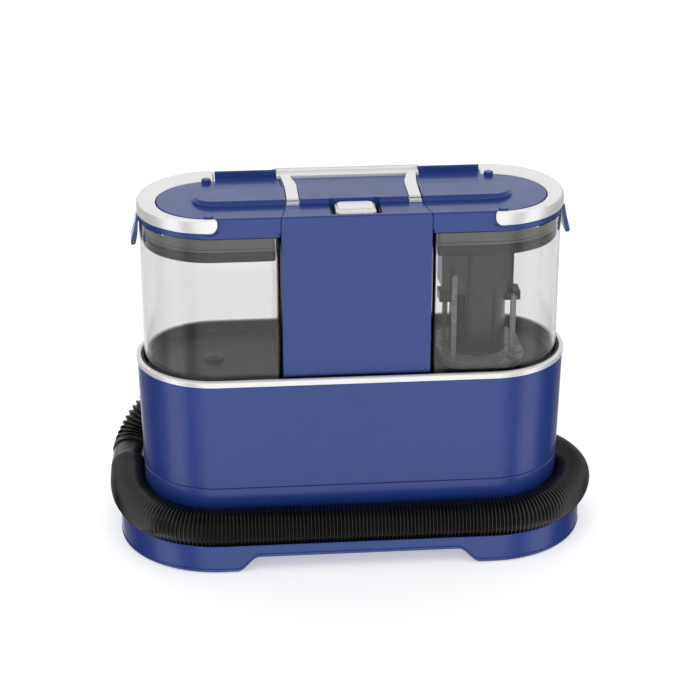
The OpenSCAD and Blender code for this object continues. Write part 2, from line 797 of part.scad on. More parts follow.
// Snap latch at the outer end: hinged at the top in the lid, finger tab at the bottom
module latch() {
    y_prism([
        [latch_x - 1, latch_z + 1], [latch_x + 1.3, latch_z + 1], [latch_x + 1.5, 275],
        [167.9, 267], [170.4, 257], [172, 250.6], [170.4, 250], [168.6, 256.4], [166.1, 266],
        [165.9, 273.8], [latch_x - 1, 275.6]
    ], -latch_w / 2, latch_w / 2);
    y_rod([latch_x, -latch_w / 2 - 1.4, latch_z], latch_w + 2.8, 0.8);
}

module clean_lid() color(blue) mirror([1, 0, 0]) lid_body();
module clean_lid_plug() color([0.42, 0.42, 0.42]) mirror([1, 0, 0]) lid_plug();
module clean_lid_seal() color(rubber) mirror([1, 0, 0]) lid_seal();
module clean_handle() color(silver) mirror([1, 0, 0]) bail_handle();
module clean_handle_pins() color(steel) mirror([1, 0, 0]) bail_pins();
module clean_latch() color(blue) mirror([1, 0, 0]) latch();
module dirty_lid() color(blue) lid_body();
module dirty_lid_plug() color([0.42, 0.42, 0.42]) lid_plug();
module dirty_lid_seal() color(rubber) lid_seal();
module dirty_handle() color(silver) bail_handle();
module dirty_handle_pins() color(steel) bail_pins();
module dirty_latch() color(blue) latch();

// ---------- hose and hand tool ----------

// Elbow on the rear of the housing that turns the hose towards the left end
module hose_port() color(dark) difference() {
    union() {
        y_rod([port_pos.x, 62.3, port_pos.z], 3, 22);
        y_rod([port_pos.x, 59.1, port_pos.z], port_pos.y - 59.1, 17.8);
        x_rod([port_pos.x - 18.2, port_pos.y, port_pos.z], 36, 17.8);
    }
    y_rod([port_pos.x, 50, port_pos.z], port_pos.y - 50, 14);
    x_rod([port_pos.x - 20, port_pos.y, port_pos.z], 20, 14);
}

full_route = smooth_route(hose_path, 2);
boot_end = 2 * boot_steps;

module hose_boot() color(black)
    tube(full_route, boot_d / 2, 12, 0, boot_end);

module suction_hose() color(black)
    tube(full_route, hose_d / 2, 12, boot_end);

module hose_cuff() color(dark) difference() {
    union() {
        translate([0, tool_y, 108.1])
            cylinder(h = 19.9, r = 17.5);
        translate([0, tool_y, 114])
            cylinder(h = 5, r = 18.6);
    }
    translate([0, tool_y, 110])
        cylinder(h = 30, r = 12);
}

module tool_handle() color(dark) difference() {
    union() {
        translate([0, tool_y, 128.1])
            cylinder(h = neck_z - 128.1, r = grip_r);
        translate([0, tool_y, 128.1])
            cylinder(h = 4, r = 17);
        for (x = [-9.8, 7.4])
            block([x, tool_y + 8, trigger_z - 6], [x + 2.4, trigger_y + 4, trigger_z + 6]);
    }
    translate([0, tool_y, 120])
        cylinder(h = 90, r = 12);
    x_rod([-20, trigger_y, trigger_z], 40, 1.5 + run);
}

module tool_trigger() color(silver) {
    x_rod([-7, trigger_y, trigger_z], 14, 3.4);
    x_rod([-9.6, trigger_y, trigger_z], 19.2, 1.5);
    x_prism([
        [trigger_y - 2.4, trigger_z], [trigger_y + 2.6, trigger_z], [trigger_y + 5.4, 156],
        [trigger_y + 8.4, 143], [trigger_y + 5.2, 141.6], [trigger_y + 2.2, 156]
    ], -6, 6);
}

nozzle_rows = [
    [30, 30, tool_y, neck_z], [36, 29, tool_y + 0.5, 210], [62, 24, tool_y + 2, 232],
    [80, 20, tool_y + 3.5, 250], [84, 18, tool_y + 5, mouth_z]
];

module nozzle_solid(grow, dz) {
    loft([for (i = [0:len(nozzle_rows) - 1]) let (s = nozzle_rows[i])
        [[for (p = round_rect(s[0] + grow, s[1] + grow, min(s[1] + grow, 24) / 2 - 0.5))
            p + [0, s[2]]],
         s[3] + (i == 0 ? -dz : 0) + (i == len(nozzle_rows) - 1 ? dz : 0)]]);
}

module tool_nozzle() color(clear) difference() {
    translate([0, 0, 0.1])
        nozzle_solid(0, 0);
    nozzle_solid(-4.4, 1);
}

// Row of bristle tufts on the wall side of the suction mouth
module tool_brush() color(black) {
    block([-34, tool_y - 9.6, 262], [34, tool_y - 5.4, 266]);
    for (i = [0:10])
        translate([-31 + 6.2 * i, tool_y - 7.5, 265.9])
            cylinder(h = 9, r = 1.9, $fn = 16);
}

module spray_tip() color(dark) {
    translate([0, tool_y + 17.8, 226])
        cylinder(h = 14, r = 3);
    block([-4, tool_y + 14.6, 220], [4, tool_y + 20.6, 227]);
}

base_plate();
rubber_feet();
base_screws();
hose_pedestal();
lower_housing();
trim_ring();
tank_well();
column_frame();
centre_cover();
centre_panel();
button_bezel();
power_button();
button_spring();
power_switch();
control_board();
carry_handle();
carry_handle_pins();
rear_cover();
rear_cover_screws();
tool_clip();
exhaust_grille();
exhaust_filter();
mains_gland();
vacuum_motor();
fan_housing();
motor_mounts();
fan_impeller();
motor_shaft();
water_pump();
pump_inlet_tube();
pump_outlet_tube();
valve_socket();
suction_duct();
clean_tank();
clean_valve();
clean_lid();
clean_lid_plug();
clean_lid_seal();
clean_handle();
clean_handle_pins();
clean_latch();
dirty_tank();
dirty_standpipe();
dirty_float();
dirty_lid();
dirty_lid_plug();
dirty_lid_seal();
dirty_handle();
dirty_handle_pins();
dirty_latch();
hose_port();
hose_boot();
suction_hose();
hose_cuff();
tool_handle();
tool_trigger();
tool_nozzle();
tool_brush();
spray_tip();
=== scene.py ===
"""Looks of a portable carpet cleaner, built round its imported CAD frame.

Lengths are in millimetres until a mesh is made.
"""
import math

import bmesh
import bpy
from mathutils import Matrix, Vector


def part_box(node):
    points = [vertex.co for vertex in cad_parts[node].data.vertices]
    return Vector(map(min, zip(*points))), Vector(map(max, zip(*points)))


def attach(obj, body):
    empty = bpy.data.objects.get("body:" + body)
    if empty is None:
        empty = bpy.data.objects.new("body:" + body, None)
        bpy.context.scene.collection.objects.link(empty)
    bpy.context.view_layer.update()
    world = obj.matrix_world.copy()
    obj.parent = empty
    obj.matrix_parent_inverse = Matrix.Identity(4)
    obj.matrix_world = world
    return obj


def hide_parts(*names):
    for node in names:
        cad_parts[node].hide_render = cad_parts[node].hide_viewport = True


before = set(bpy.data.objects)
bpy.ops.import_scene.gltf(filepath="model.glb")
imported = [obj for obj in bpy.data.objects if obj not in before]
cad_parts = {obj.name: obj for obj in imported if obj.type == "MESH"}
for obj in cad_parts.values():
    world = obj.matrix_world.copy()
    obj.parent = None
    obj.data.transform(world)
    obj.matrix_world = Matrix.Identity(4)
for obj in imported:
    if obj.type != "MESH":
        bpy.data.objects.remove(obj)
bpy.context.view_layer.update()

MM = 0.001


def span(node, axis):
    """Lowest and highest place of a CAD node along x, y or z, in millimetres."""
    lo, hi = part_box(node)
    i = "xyz".index(axis)
    return lo[i] / MM, hi[i] / MM


# ---------- camera ----------

AZIMUTH = math.radians(-4.81)
ELEVATION = math.radians(23.98)
DISTANCE = 1.65394
TARGET = Vector((-0.00075, 0, 0.15467))


def make_camera():
    data = bpy.data.cameras.new("camera")
    data.lens = 105.6
    data.sensor_width = 36
    data.clip_end = 30
    camera = bpy.data.objects.new("camera", data)
    bpy.context.scene.collection.objects.link(camera)
    back = Vector((
        math.sin(AZIMUTH) * math.cos(ELEVATION),
        -math.cos(AZIMUTH) * math.cos(ELEVATION),
        math.sin(ELEVATION),
    ))
    camera.location = TARGET + back * DISTANCE
    camera.rotation_euler = (-back).to_track_quat("-Z", "Y").to_euler()
    bpy.context.scene.camera = camera


make_camera()

# ---------- materials ----------


class Graph:
    """A material's node tree, with short calls for the nodes used here."""

    def __init__(self, name, color, roughness, metallic=0.0):
        self.material = bpy.data.materials.new(name)
        self.material.use_nodes = True
        self.tree = self.material.node_tree
        self.shader = self.tree.nodes["Principled BSDF"]
        self.set("Base Color", (*color, 1))
        self.set("Roughness", roughness)
        self.set("Metallic", metallic)
        self.place = self.tree.nodes.new("ShaderNodeTexCoord").outputs["Object"]
        self.normal = None

    def set(self, socket, value):
        self.shader.inputs[socket].default_value = value

    def link(self, output, node, socket):
        self.tree.links.new(output, node.inputs[socket])

    def stretched(self, scale):
        node = self.tree.nodes.new("ShaderNodeMapping")
        node.inputs["Scale"].default_value = scale
        self.link(self.place, node, "Vector")
        return node.outputs["Vector"]

    def noise(self, scale, detail=2.0, place=None):
        node = self.tree.nodes.new("ShaderNodeTexNoise")
        node.inputs["Scale"].default_value = scale
        node.inputs["Detail"].default_value = detail
        self.link(place or self.place, node, "Vector")
        return node.outputs["Fac"]

    def cells(self, scale):
        node = self.tree.nodes.new("ShaderNodeTexVoronoi")
        node.inputs["Scale"].default_value = scale
        self.link(self.place, node, "Vector")
        return node.outputs["Distance"]

    def vary_color(self, fac, dark, light):
        node = self.tree.nodes.new("ShaderNodeValToRGB")
        node.color_ramp.elements[0].position = 0.3
        node.color_ramp.elements[0].color = (*dark, 1)
        node.color_ramp.elements[1].position = 0.7
        node.color_ramp.elements[1].color = (*light, 1)
        self.link(fac, node, "Fac")
        self.link(node.outputs["Color"], self.shader, "Base Color")

    def vary_roughness(self, fac, low, high):
        node = self.tree.nodes.new("ShaderNodeMapRange")
        node.inputs["From Min"].default_value = 0.3
        node.inputs["From Max"].default_value = 0.7
        node.inputs["To Min"].default_value = low
        node.inputs["To Max"].default_value = high
        self.link(fac, node, "Value")
        self.link(node.outputs["Result"], self.shader, "Roughness")

    def bump(self, height, strength, depth):
        node = self.tree.nodes.new("ShaderNodeBump")
        node.inputs["Strength"].default_value = strength
        node.inputs["Distance"].default_value = depth
        self.link(height, node, "Height")
        if self.normal:
            self.link(self.normal, node, "Normal")
        self.normal = node.outputs["Normal"]
        self.link(self.normal, self.shader, "Normal")


def moulded(name, color, light, roughness, grain, grain_depth):
    """Moulded plastic: a slight drift of colour, a fine grain and uneven gloss."""
    g = Graph(name, color, roughness)
    g.vary_color(g.noise(9, 3), color, light)
    g.vary_roughness(g.noise(60, 4), roughness - 0.04, roughness + 0.05)
    g.bump(g.noise(grain, 2), 0.25, grain_depth)
    return g


def blue_shell():
    g = moulded(
        "blue_shell", (0.0145, 0.0425, 0.222), (0.0155, 0.0445, 0.229), 0.32, 2600, 0.000008)
    g.set("Coat Weight", 0.35)
    g.set("Coat Roughness", 0.07)
    return g.material


def silver_trim():
    g = Graph("silver_trim", (0.9, 0.9, 0.9), 0.26, 0.4)
    g.vary_color(g.noise(14, 3), (0.885, 0.885, 0.885), (0.91, 0.91, 0.905))
    g.vary_roughness(g.noise(90, 3), 0.2, 0.28)
    g.bump(g.noise(700, 1), 0.1, 0.000008)
    return g.material


def black_plastic():
    g = moulded("black_plastic", (0.008, 0.008, 0.0085), (0.013, 0.013, 0.0135), 0.4, 1800, 0.00003)
    g.set("Specular IOR Level", 0.25)
    return g.material


def dark_plastic():
    dark, light = (0.026, 0.027, 0.029), (0.04, 0.041, 0.043)
    return moulded("dark_plastic", dark, light, 0.42, 1500, 0.00005).material


def smoke_plastic():
    dark, light = (0.012, 0.012, 0.0118), (0.017, 0.017, 0.0167)
    return moulded("smoke_plastic", dark, light, 0.22, 300, 0.000002).material


def grey_plastic():
    g = moulded("grey_plastic", (0.13, 0.127, 0.12), (0.17, 0.166, 0.158), 0.3, 900, 0.00002)
    g.set("Metallic", 0.35)
    return g.material


def white_plastic():
    g = moulded("white_plastic", (0.5, 0.5, 0.5), (0.54, 0.54, 0.54), 0.26, 300, 0.000004)
    g.set("Transmission Weight", 0.3)
    g.set("IOR", 1.3)
    return g.material


def rubber():
    g = moulded("rubber", (0.012, 0.012, 0.012), (0.022, 0.022, 0.022), 0.5, 1200, 0.00008)
    g.bump(g.cells(1500), 0.15, 0.00005)
    return g.material


def hose_plastic():
    g = Graph("hose", (0.004, 0.004, 0.0043), 0.2)
    g.set("Coat Weight", 0.4)
    g.set("Coat Roughness", 0.12)
    g.vary_color(g.noise(40, 4), (0.003, 0.003, 0.0032), (0.006, 0.006, 0.0063))
    g.vary_roughness(g.noise(160, 4), 0.16, 0.28)
    g.bump(g.noise(1400, 2), 0.3, 0.00004)
    return g.material


def steel():
    g = Graph("steel", (0.6, 0.6, 0.61), 0.28, 1.0)
    streaks = g.noise(60, 4, g.stretched((1, 1, 24)))
    g.vary_color(streaks, (0.5, 0.5, 0.51), (0.68, 0.68, 0.69))
    g.vary_roughness(streaks, 0.2, 0.38)
    g.bump(g.noise(900, 2, g.stretched((1, 1, 12))), 0.2, 0.00004)
    return g.material


def aluminium():
    g = Graph("aluminium", (0.7, 0.71, 0.72), 0.34, 1.0)
    g.vary_color(g.noise(120, 4), (0.6, 0.61, 0.62), (0.76, 0.77, 0.78))
    g.vary_roughness(g.noise(500, 3), 0.28, 0.44)
    g.bump(g.noise(2400, 2), 0.25, 0.00003)
    return g.material


def circuit_board():
    g = Graph("circuit_board", (0.02, 0.12, 0.05), 0.4)
    tracks = g.noise(700, 1, g.stretched((1, 1, 0.06)))
    g.vary_color(tracks, (0.012, 0.09, 0.035), (0.03, 0.19, 0.08))
    g.vary_roughness(g.noise(300, 2), 0.3, 0.5)
    g.bump(tracks, 0.4, 0.00006)
    return g.material


def filter_foam():
    g = Graph("filter_foam", (0.07, 0.07, 0.073), 0.9)
    pore_pits_and_shade = g.cells(700)
    # Painted shade: the foam is drawn darker in its pore pits, on the same cells that the bump
    # sinks, as well as its grey tone
    g.vary_color(pore_pits_and_shade, (0.03, 0.03, 0.031), (0.12, 0.12, 0.124))
    g.bump(pore_pits_and_shade, 0.9, 0.0006)
    return g.material


def clear_tank():
    """Clear moulded plastic with a trace of haze and flow marks."""
    g = Graph("clear_tank", (0.84, 0.845, 0.845), 0.03)
    g.set("Transmission Weight", 1.0)
    g.set("IOR", 1.46)
    g.vary_roughness(g.noise(30, 3), 0.015, 0.05)
    g.bump(g.noise(16, 2, g.stretched((1, 1, 0.2))), 0.12, 0.0003)
    return g.material


MATERIALS = {
    "blue_shell": blue_shell(), "silver_trim": silver_trim(), "black_plastic": black_plastic(),
    "dark_plastic": dark_plastic(), "smoke_plastic": smoke_plastic(),
    "grey_plastic": grey_plastic(), "white_plastic": white_plastic(),
    "rubber": rubber(), "hose": hose_plastic(), "steel": steel(),
    "aluminium": aluminium(), "circuit_board": circuit_board(), "filter_foam": filter_foam(),
    "clear_tank": clear_tank(),
}

# ---------- mesh helpers ----------


def raw_piece(name, points, faces):
    """A new object from points in millimetres, with its faces turned outwards."""
    mesh = bpy.data.meshes.new(name)
    mesh.from_pydata([[v * MM for v in p] for p in points], [], faces)
    bm = bmesh.new()
    bm.from_mesh(mesh)
    bmesh.ops.remove_doubles(bm, verts=bm.verts, dist=1e-7)
    bmesh.ops.recalc_face_normals(bm, faces=bm.faces)
    bm.to_mesh(mesh)
    bm.free()
    piece = bpy.data.objects.new(name, mesh)
    bpy.context.scene.collection.objects.link(piece)
    return piece


def stacked(name, rings, closed=False):
    """A solid through closed rings of points, capped at both ends or joined into a loop."""
    n = len(rings[0])
    points = [p for ring in rings for p in ring]
    faces = []
    for i in range(len(rings) if closed else len(rings) - 1):
        a, b = i * n, (i + 1) % len(rings) * n
        for k in range(n):
            m = (k + 1) % n
            faces.append([a + k, a + m, b + m, b + k])
    if not closed:
        faces.append(list(range(n)))
        faces.append(list(range(len(points) - n, len(points))))
    return raw_piece(name, points, faces)


def prism(name, outline, z0, z1):
    return stacked(name, [[(x, y, z) for x, y in outline] for z in (z0, z1)])


def x_prism(name, outline, x0, x1):
    """A Y-Z outline pulled along X."""
    return stacked(name, [[(x, y, z) for y, z in outline] for x in (x0, x1)])


def y_prism(name, outline, y0, y1):
    """An X-Z outline pulled along Y."""
    return stacked(name, [[(x, y, z) for x, z in outline] for y in (y0, y1)])


def block(name, low, high):
    outline = [(low[0], low[1]), (high[0], low[1]), (high[0], high[1]), (low[0], high[1])]
    return prism(name, outline, low[2], high[2])


def turned(name, axis, centre, profile, steps=48):
    """A solid of revolution about an axis through centre; profile is (place along it, radius)."""
    i = "xyz".index(axis)
    j, k = (i + 1) % 3, (i + 2) % 3
    rings = []
    for along, radius in profile:
        ring = []
        for s in range(steps):
            p = list(centre)
            p[i] += along
            p[j] += radius * math.cos(2 * math.pi * s / steps)
            p[k] += radius * math.sin(2 * math.pi * s / steps)
            ring.append(tuple(p))
        rings.append(ring)
    return stacked(name, rings)


def rod(name, axis, start, length, radius, steps=48):
    return turned(name, axis, start, [(0, radius), (length, radius)], steps)


def arc(cx, cy, r, a0, a1, steps):
    """Points of an arc, angles in degrees."""
    out = []
    for i in range(steps + 1):
        a = math.radians(a0 + (a1 - a0) * i / steps)
        out.append((cx + r * math.cos(a), cy + r * math.sin(a)))
    return out


def rounded(outline, radii, steps=6):
    """A closed outline with each corner rounded by its own radius."""
    out = []
    n = len(outline)
    for i in range(n):
        r = radii[i] if isinstance(radii, (list, tuple)) else radii
        p = Vector(outline[i])
        a = Vector(outline[i - 1]) - p
        b = Vector(outline[(i + 1) % n]) - p
        half = a.angle(b) / 2
        if r <= 0 or half > math.radians(89):
            out.append(tuple(p))
            continue
        reach = min(r / math.tan(half), a.length * 0.49, b.length * 0.49)
        start, end = p + a.normalized() * reach, p + b.normalized() * reach
        for s in range(steps + 1):
            t = s / steps
            q = start * (1 - t) ** 2 + p * 2 * t * (1 - t) + end * t ** 2
            out.append(tuple(q))
    return out


def baked(piece):
    """Applies a piece's modifiers to its mesh."""
    bpy.context.view_layer.update()
    graph = bpy.context.evaluated_depsgraph_get()
    mesh = bpy.data.meshes.new_from_object(piece.evaluated_get(graph))
    mesh.name = piece.name
    piece.modifiers.clear()
    piece.data = mesh
    return piece


def combine(piece, others, how):
    """Joins solids to a piece, cuts them out of it, or keeps what they share."""
    for other in others:
        step = piece.modifiers.new("combine", "BOOLEAN")
        step.operation = how
        step.solver = "EXACT"
        step.object = other
    baked(piece)
    for other in others:
        bpy.data.objects.remove(other)
    return piece


def add(piece, *others):
    return combine(piece, others, "UNION")


def cut(piece, *others):
    return combine(piece, others, "DIFFERENCE")


def joined(name, pieces):
    """Several separate solids as one object."""
    bm = bmesh.new()
    for p in pieces:
        bm.from_mesh(p.data)
    mesh = bpy.data.meshes.new(name)
    bm.to_mesh(mesh)
    bm.free()
    for p in pieces:
        bpy.data.objects.remove(p)
    piece = bpy.data.objects.new(name, mesh)
    bpy.context.scene.collection.objects.link(piece)
    return piece


def soften(piece, width, segments=3, angle=32):
    """Rounds the sharp edges and shades the rest smooth."""
    if width:
        step = piece.modifiers.new("edges", "BEVEL")
        step.width = width * MM
        step.segments = segments
        step.limit_method = "ANGLE"
        step.angle_limit = math.radians(angle)
        step.use_clamp_overlap = True
        step.harden_normals = False
        baked(piece)
    for polygon in piece.data.polygons:
        polygon.use_smooth = True
    piece.data.set_sharp_from_angle(angle=math.radians(angle))
    flat = piece.modifiers.new("flat_faces", "WEIGHTED_NORMAL")
    flat.keep_sharp = True
    flat.weight = 100
    return piece


def place(piece, slot, body, *nodes):
    """Gives a piece its material, its CAD body and the CAD nodes it stands for."""
    piece.data.materials.clear()
    piece.data.materials.append(MATERIALS[slot])
    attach(piece, body)
    if nodes:
        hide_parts(*nodes)
    return piece


# ---------- slot-shaped outlines ----------

END_C = span("base_plate", "x")[1] - span("base_plate", "y")[1]
END_STEPS = 48
SIDE_STEPS = 56


def slot_ring(c, r, z, lift=None):
    """One ring round the machine: two half circles of radius r, c either side of the middle."""
    ring = []
    for i in range(END_STEPS + 1):
        a = math.radians(-90 + 180 * i / END_STEPS)
        ring.append((c + r * math.cos(a), r * math.sin(a), z))
    for i in range(1, SIDE_STEPS):
        ring.append((c - 2 * c * i / SIDE_STEPS, r, z))
    for i in range(END_STEPS + 1):
        a = math.radians(90 + 180 * i / END_STEPS)
        ring.append((-c + r * math.cos(a), r * math.sin(a), z))
    for i in range(1, SIDE_STEPS):
        ring.append((-c + 2 * c * i / SIDE_STEPS, -r, z))
    if lift:
        ring = [(x, y, z + lift(x)) for x, y, z in ring]
    return ring


def slot_solid(name, rows, closed=False):
    """Rings from (c, r, z) rows."""
    return stacked(name, [slot_ring(*row) for row in rows], closed)


def even_slot(name, profile, closed=False):
    """Rings from (r, z) rows, all with the base plate's end centres."""
    return slot_solid(name, [(END_C, r, z) for r, z in profile], closed)


def tank_outline(x0, r, corner=0.0, steps=48):
    """The right-hand tank's outline: flat at x0, round at the outer end."""
    front, rear = [(x0, -r)] * 7, [(x0, r)] * 7
    if corner > 0:
        front = arc(x0 + corner, -r + corner, corner, 180, 270, 6)
        rear = arc(x0 + corner, r - corner, corner, 90, 180, 6)
    return front + arc(END_C, 0, r, -90, 90, steps) + rear


def mirrored(outline, side):
    """An X-Y outline on the given side of the machine: 1 for the right, -1 for the left."""
    return [(side * x, y) for x, y in outline]


def lifted(outline, z):
    """A flat outline as a ring of points at a height."""
    return [(x, y, z) for x, y in outline]


# ---------- hose ----------

HOSE_D = 31.5
HOSE_PITCH = 2.94
HOSE_CUFF = 22       # plain stretch where the fine ribs meet the boot
BOOT_D = 35.0
BOOT_PITCH = 4.4
BOOT_CUFF = 9
BOOT_STEPS = 8       # stretches of the route that the boot covers
HOSE_ROUTE = [
    (-98.5, 84, 98), (-109, 84, 97.6), (-120, 84, 96.5), (-132.5, 84, 92.5), (-145.5, 83, 84),
    (-157.5, 80, 73.5), (-168.5, 74, 61.5), (-176, 65, 50.5), (-180, 53, 43.5), (-182, 38, 40.4),
    (-182.4, 20, 39.4), (-182, 2, 38.4), (-179, -16, 37.8), (-172, -34, 37.4), (-162, -49, 37.2),
    (-148.5, -59.4, 36.4), (-131, -66.7, 35.4), (-112, -69.1, 34.8), (-84, -69, 34.6),
    (-56, -69, 34.6), (-28, -69, 34.6), (0, -69, 34.6), (28, -69, 34.6), (56, -69, 34.6),
    (84, -69, 34.6), (112, -69.1, 34.8), (131, -66.7, 35.4), (148.5, -59.4, 36.4),
    (163, -48.5, 37.6), (174, -33, 38.3), (180.5, -17, 38.8), (183, 0, 39), (180.5, 17, 38.8),
    (174, 33, 38.3),
    (163, 48, 37.6), (148, 59, 36.6), (131, 66, 35.6), (112, 69, 34.8), (89, 69.5, 34.8),
    (66, 70.5, 36), (44, 73, 42), (24, 75.5, 54), (9, 76.8, 70), (2.4, 77, 82), (0.2, 77, 92),
    (0, 77, 100), (0, 77, 108),
]


def curve_through(route, first, last, step):
    """Points every step millimetres along the smooth curve through part of a route."""
    fine = []
    for i in range(first, last):
        a = Vector(route[max(i - 1, 0)])
        b, c = Vector(route[i]), Vector(route[i + 1])
        d = Vector(route[min(i + 2, len(route) - 1)])
        for j in range(24):
            t = j / 24
            fine.append(0.5 * (2 * b + (c - a) * t + (2 * a - 5 * b + 4 * c - d) * t * t
                               + (3 * b - a - 3 * c + d) * t ** 3))
    fine.append(Vector(route[last]))
    total = sum((q - p).length for p, q in zip(fine, fine[1:]))
    count = max(2, round(total / step))
    out, travelled, k = [fine[0]], 0.0, 0
    for i in range(1, count):
        goal = total * i / count
        while travelled + (fine[k + 1] - fine[k]).length < goal:
            travelled += (fine[k + 1] - fine[k]).length
            k += 1
        t = (goal - travelled) / (fine[k + 1] - fine[k]).length
        out.append(fine[k].lerp(fine[k + 1], t))
    out.append(fine[-1])
    return out, total


def ribbed_tube(name, points, radius_at, sides):
    """A tube along points whose radius follows the distance travelled."""
    rings, travelled, across = [], 0.0, None
    for i, p in enumerate(points):
        ahead = points[min(i + 1, len(points) - 1)]
        behind = points[max(i - 1, 0)]
        t = (ahead - behind).normalized()
        if across is None:
            across = Vector((0, 0, 1)) if abs(t.z) < 0.9 else Vector((1, 0, 0))
        across = (across - t * across.dot(t)).normalized()
        other = t.cross(across)
        if i:
            travelled += (p - points[i - 1]).length
        r = radius_at(travelled)
        ring = []
        for k in range(sides):
            a = 2 * math.pi * k / sides
            ring.append(tuple(p + across * (r * math.cos(a)) + other * (r * math.sin(a))))
        rings.append(ring)
    return stacked(name, rings)


def rib(travelled, outer, pitch, depth, sharpness):
    """Radius of a corrugated tube, at a distance travelled from a crest."""
    wave = 0.5 + 0.5 * math.cos(2 * math.pi * travelled / pitch)
    return outer - depth * (1 - wave) ** sharpness


def make_hose():
    last = len(HOSE_ROUTE) - 1
    hose_line, hose_length = curve_through(HOSE_ROUTE, BOOT_STEPS, last, HOSE_PITCH / 6)
    boot_line, boot_length = curve_through(HOSE_ROUTE, 0, BOOT_STEPS, BOOT_PITCH / 8)

    def hose_radius(s):
        if s < HOSE_CUFF:
            return HOSE_D / 2
        return rib(s - HOSE_CUFF, HOSE_D / 2, HOSE_PITCH, 2.0, 1.0)

    def boot_radius(s):
        if s < BOOT_CUFF or s > boot_length - 4:
            return BOOT_D / 2 - 0.3
        return rib(s - BOOT_CUFF, BOOT_D / 2, BOOT_PITCH, 2.4, 1.3)

    hose = ribbed_tube("suction_hose_ribbed", hose_line, hose_radius, 40)
    boot = ribbed_tube("hose_boot_ribbed", boot_line, boot_radius, 40)
    soften(hose, 0, angle=50)
    soften(boot, 0, angle=50)
    place(hose, "hose", "root", "suction_hose")
    place(boot, "hose", "root", "hose_boot")
    path = [p * MM for p in curve_through(HOSE_ROUTE, BOOT_STEPS, last, 4)[0]]


make_hose()

# ---------- base and housing ----------

BASE_R = span("base_plate", "y")[1]
BASE_Z0, BASE_RIM = span("base_plate", "z")
ARCH_Z = 13.4
ARCH_X0, ARCH_X1 = 80, 97
BASE_FLOOR = 14.5
TROUGH_R, TROUGH_Z, TROUGH_HALF = 68.9, 34.5, 16.5
FOOT_R = 9


def arch_lift(x):
    """How far the base's lower edge rises above its ends."""
    t = min(max((ARCH_X1 - abs(x)) / (ARCH_X1 - ARCH_X0), 0), 1)
    return (ARCH_Z - BASE_Z0) * (0.5 - 0.5 * math.cos(math.pi * t))


def trough_half(z):
    return math.sqrt(TROUGH_HALF ** 2 - (TROUGH_Z - z) ** 2)


def make_base():
    lip = [
        (BASE_R - 3.4, 1.0), (BASE_R - 3.0, 0.2), (BASE_R - 2.4, 0.0), (BASE_R - 1.0, 0.0),
        (BASE_R - 0.45, 0.25), (BASE_R - 0.15, 0.8), (BASE_R, 1.5), (BASE_R, 2.3),
        (BASE_R - 0.2, 2.6), (BASE_R - 0.75, 2.7), (BASE_R - 0.75, 3.3), (BASE_R - 0.4, 3.6),
    ]
    rings = [slot_ring(END_C, BASE_R - 12, BASE_FLOOR), slot_ring(END_C, BASE_R - 4.2, BASE_FLOOR)]
    rings.append(slot_ring(END_C, BASE_R - 3.4, BASE_FLOOR - 0.05))
    rings += [slot_ring(END_C, r, BASE_Z0 + z, arch_lift) for r, z in lip]
    wall_top = [
        (BASE_R - 0.25, 19), (BASE_R - 0.35, 22), (BASE_R - 0.45, 23.2), (BASE_R - 0.8, 23.8),
        (BASE_R - 1.3, 23.9), (BASE_R - 1.75, 23.5),
    ]
    trough = [(TROUGH_R + trough_half(z), z) for z in (22.8, 21.6, 20.4, 19.4, 18.7)]
    trough += [(TROUGH_R - trough_half(z), z) for z in (18.7, 19.4, 20.4, 21.6, 23)]
    top = [(TROUGH_R - trough_half(BASE_RIM) - 0.5, BASE_RIM), (30, BASE_RIM)]
    rings += [slot_ring(END_C, r, z) for r, z in wall_top + trough + top]
    base = stacked("base_shell", rings)
    lo, hi = span("rubber_feet", "z")
    foot_x = span("rubber_feet", "x")[1] - FOOT_R
    foot_y = span("rubber_feet", "y")[1] - FOOT_R
    feet = []
    for x in (-foot_x, foot_x):
        for y in (-foot_y, foot_y):
            boss = rod("boss", "z", (x, y, 2.5), BASE_FLOOR - 2, 11.5)
            add(base, boss)
            cut(base, rod("seat", "z", (x, y, -1), 5, FOOT_R + 0.15))
            feet.append(turned("foot", "z", (x, y, lo), [
                (0.5, 0.4), (0.5, 5.2), (0, 5.5), (0, 8.2), (0.3, 8.75), (0.9, FOOT_R),
                (hi - lo, FOOT_R)]))
    soften(base, 0, angle=40)
    place(base, "blue_shell", "root", "base_plate")
    place(soften(joined("rubber_feet_turned", feet), 0), "rubber", "root", "rubber_feet")


def make_pedestal():
    """The drum inside the wound hose, and the skirt that flares out above the hose."""
    z0, z1 = span("hose_pedestal", "z")
    r_low, r_high = 53, span("hose_pedestal", "y")[1]
    c_low, skirt_z = 112, 38
    rows = [
        (c_low, 30, z0), (c_low, r_low - 0.4, z0), (c_low, r_low, z0 + 0.5),
        (c_low, r_low, skirt_z),
    ]
    for i in range(1, 15):
        a = math.radians(90 * i / 14)
        rows.append((
            c_low - (c_low - END_C) * math.sin(a) ** 2,
            r_low + (r_high - r_low) * math.sin(a),
            skirt_z + (z1 - 0.8 - skirt_z) * (1 - math.cos(a)),
        ))
    rows += [(END_C, r_high - 0.1, z1 - 0.4), (END_C, r_high - 0.5, z1), (END_C, 30, z1)]
    pedestal = slot_solid("hose_pedestal_shell", rows)
    place(soften(pedestal, 0), "blue_shell", "root", "hose_pedestal")


def rear_gap(z0, z1):
    """A block where the rear cover stands, to cut out of the rings round the machine."""
    return block("gap", (-57.1, 46, z0 - 2), (57.1, 90, z1 + 2))


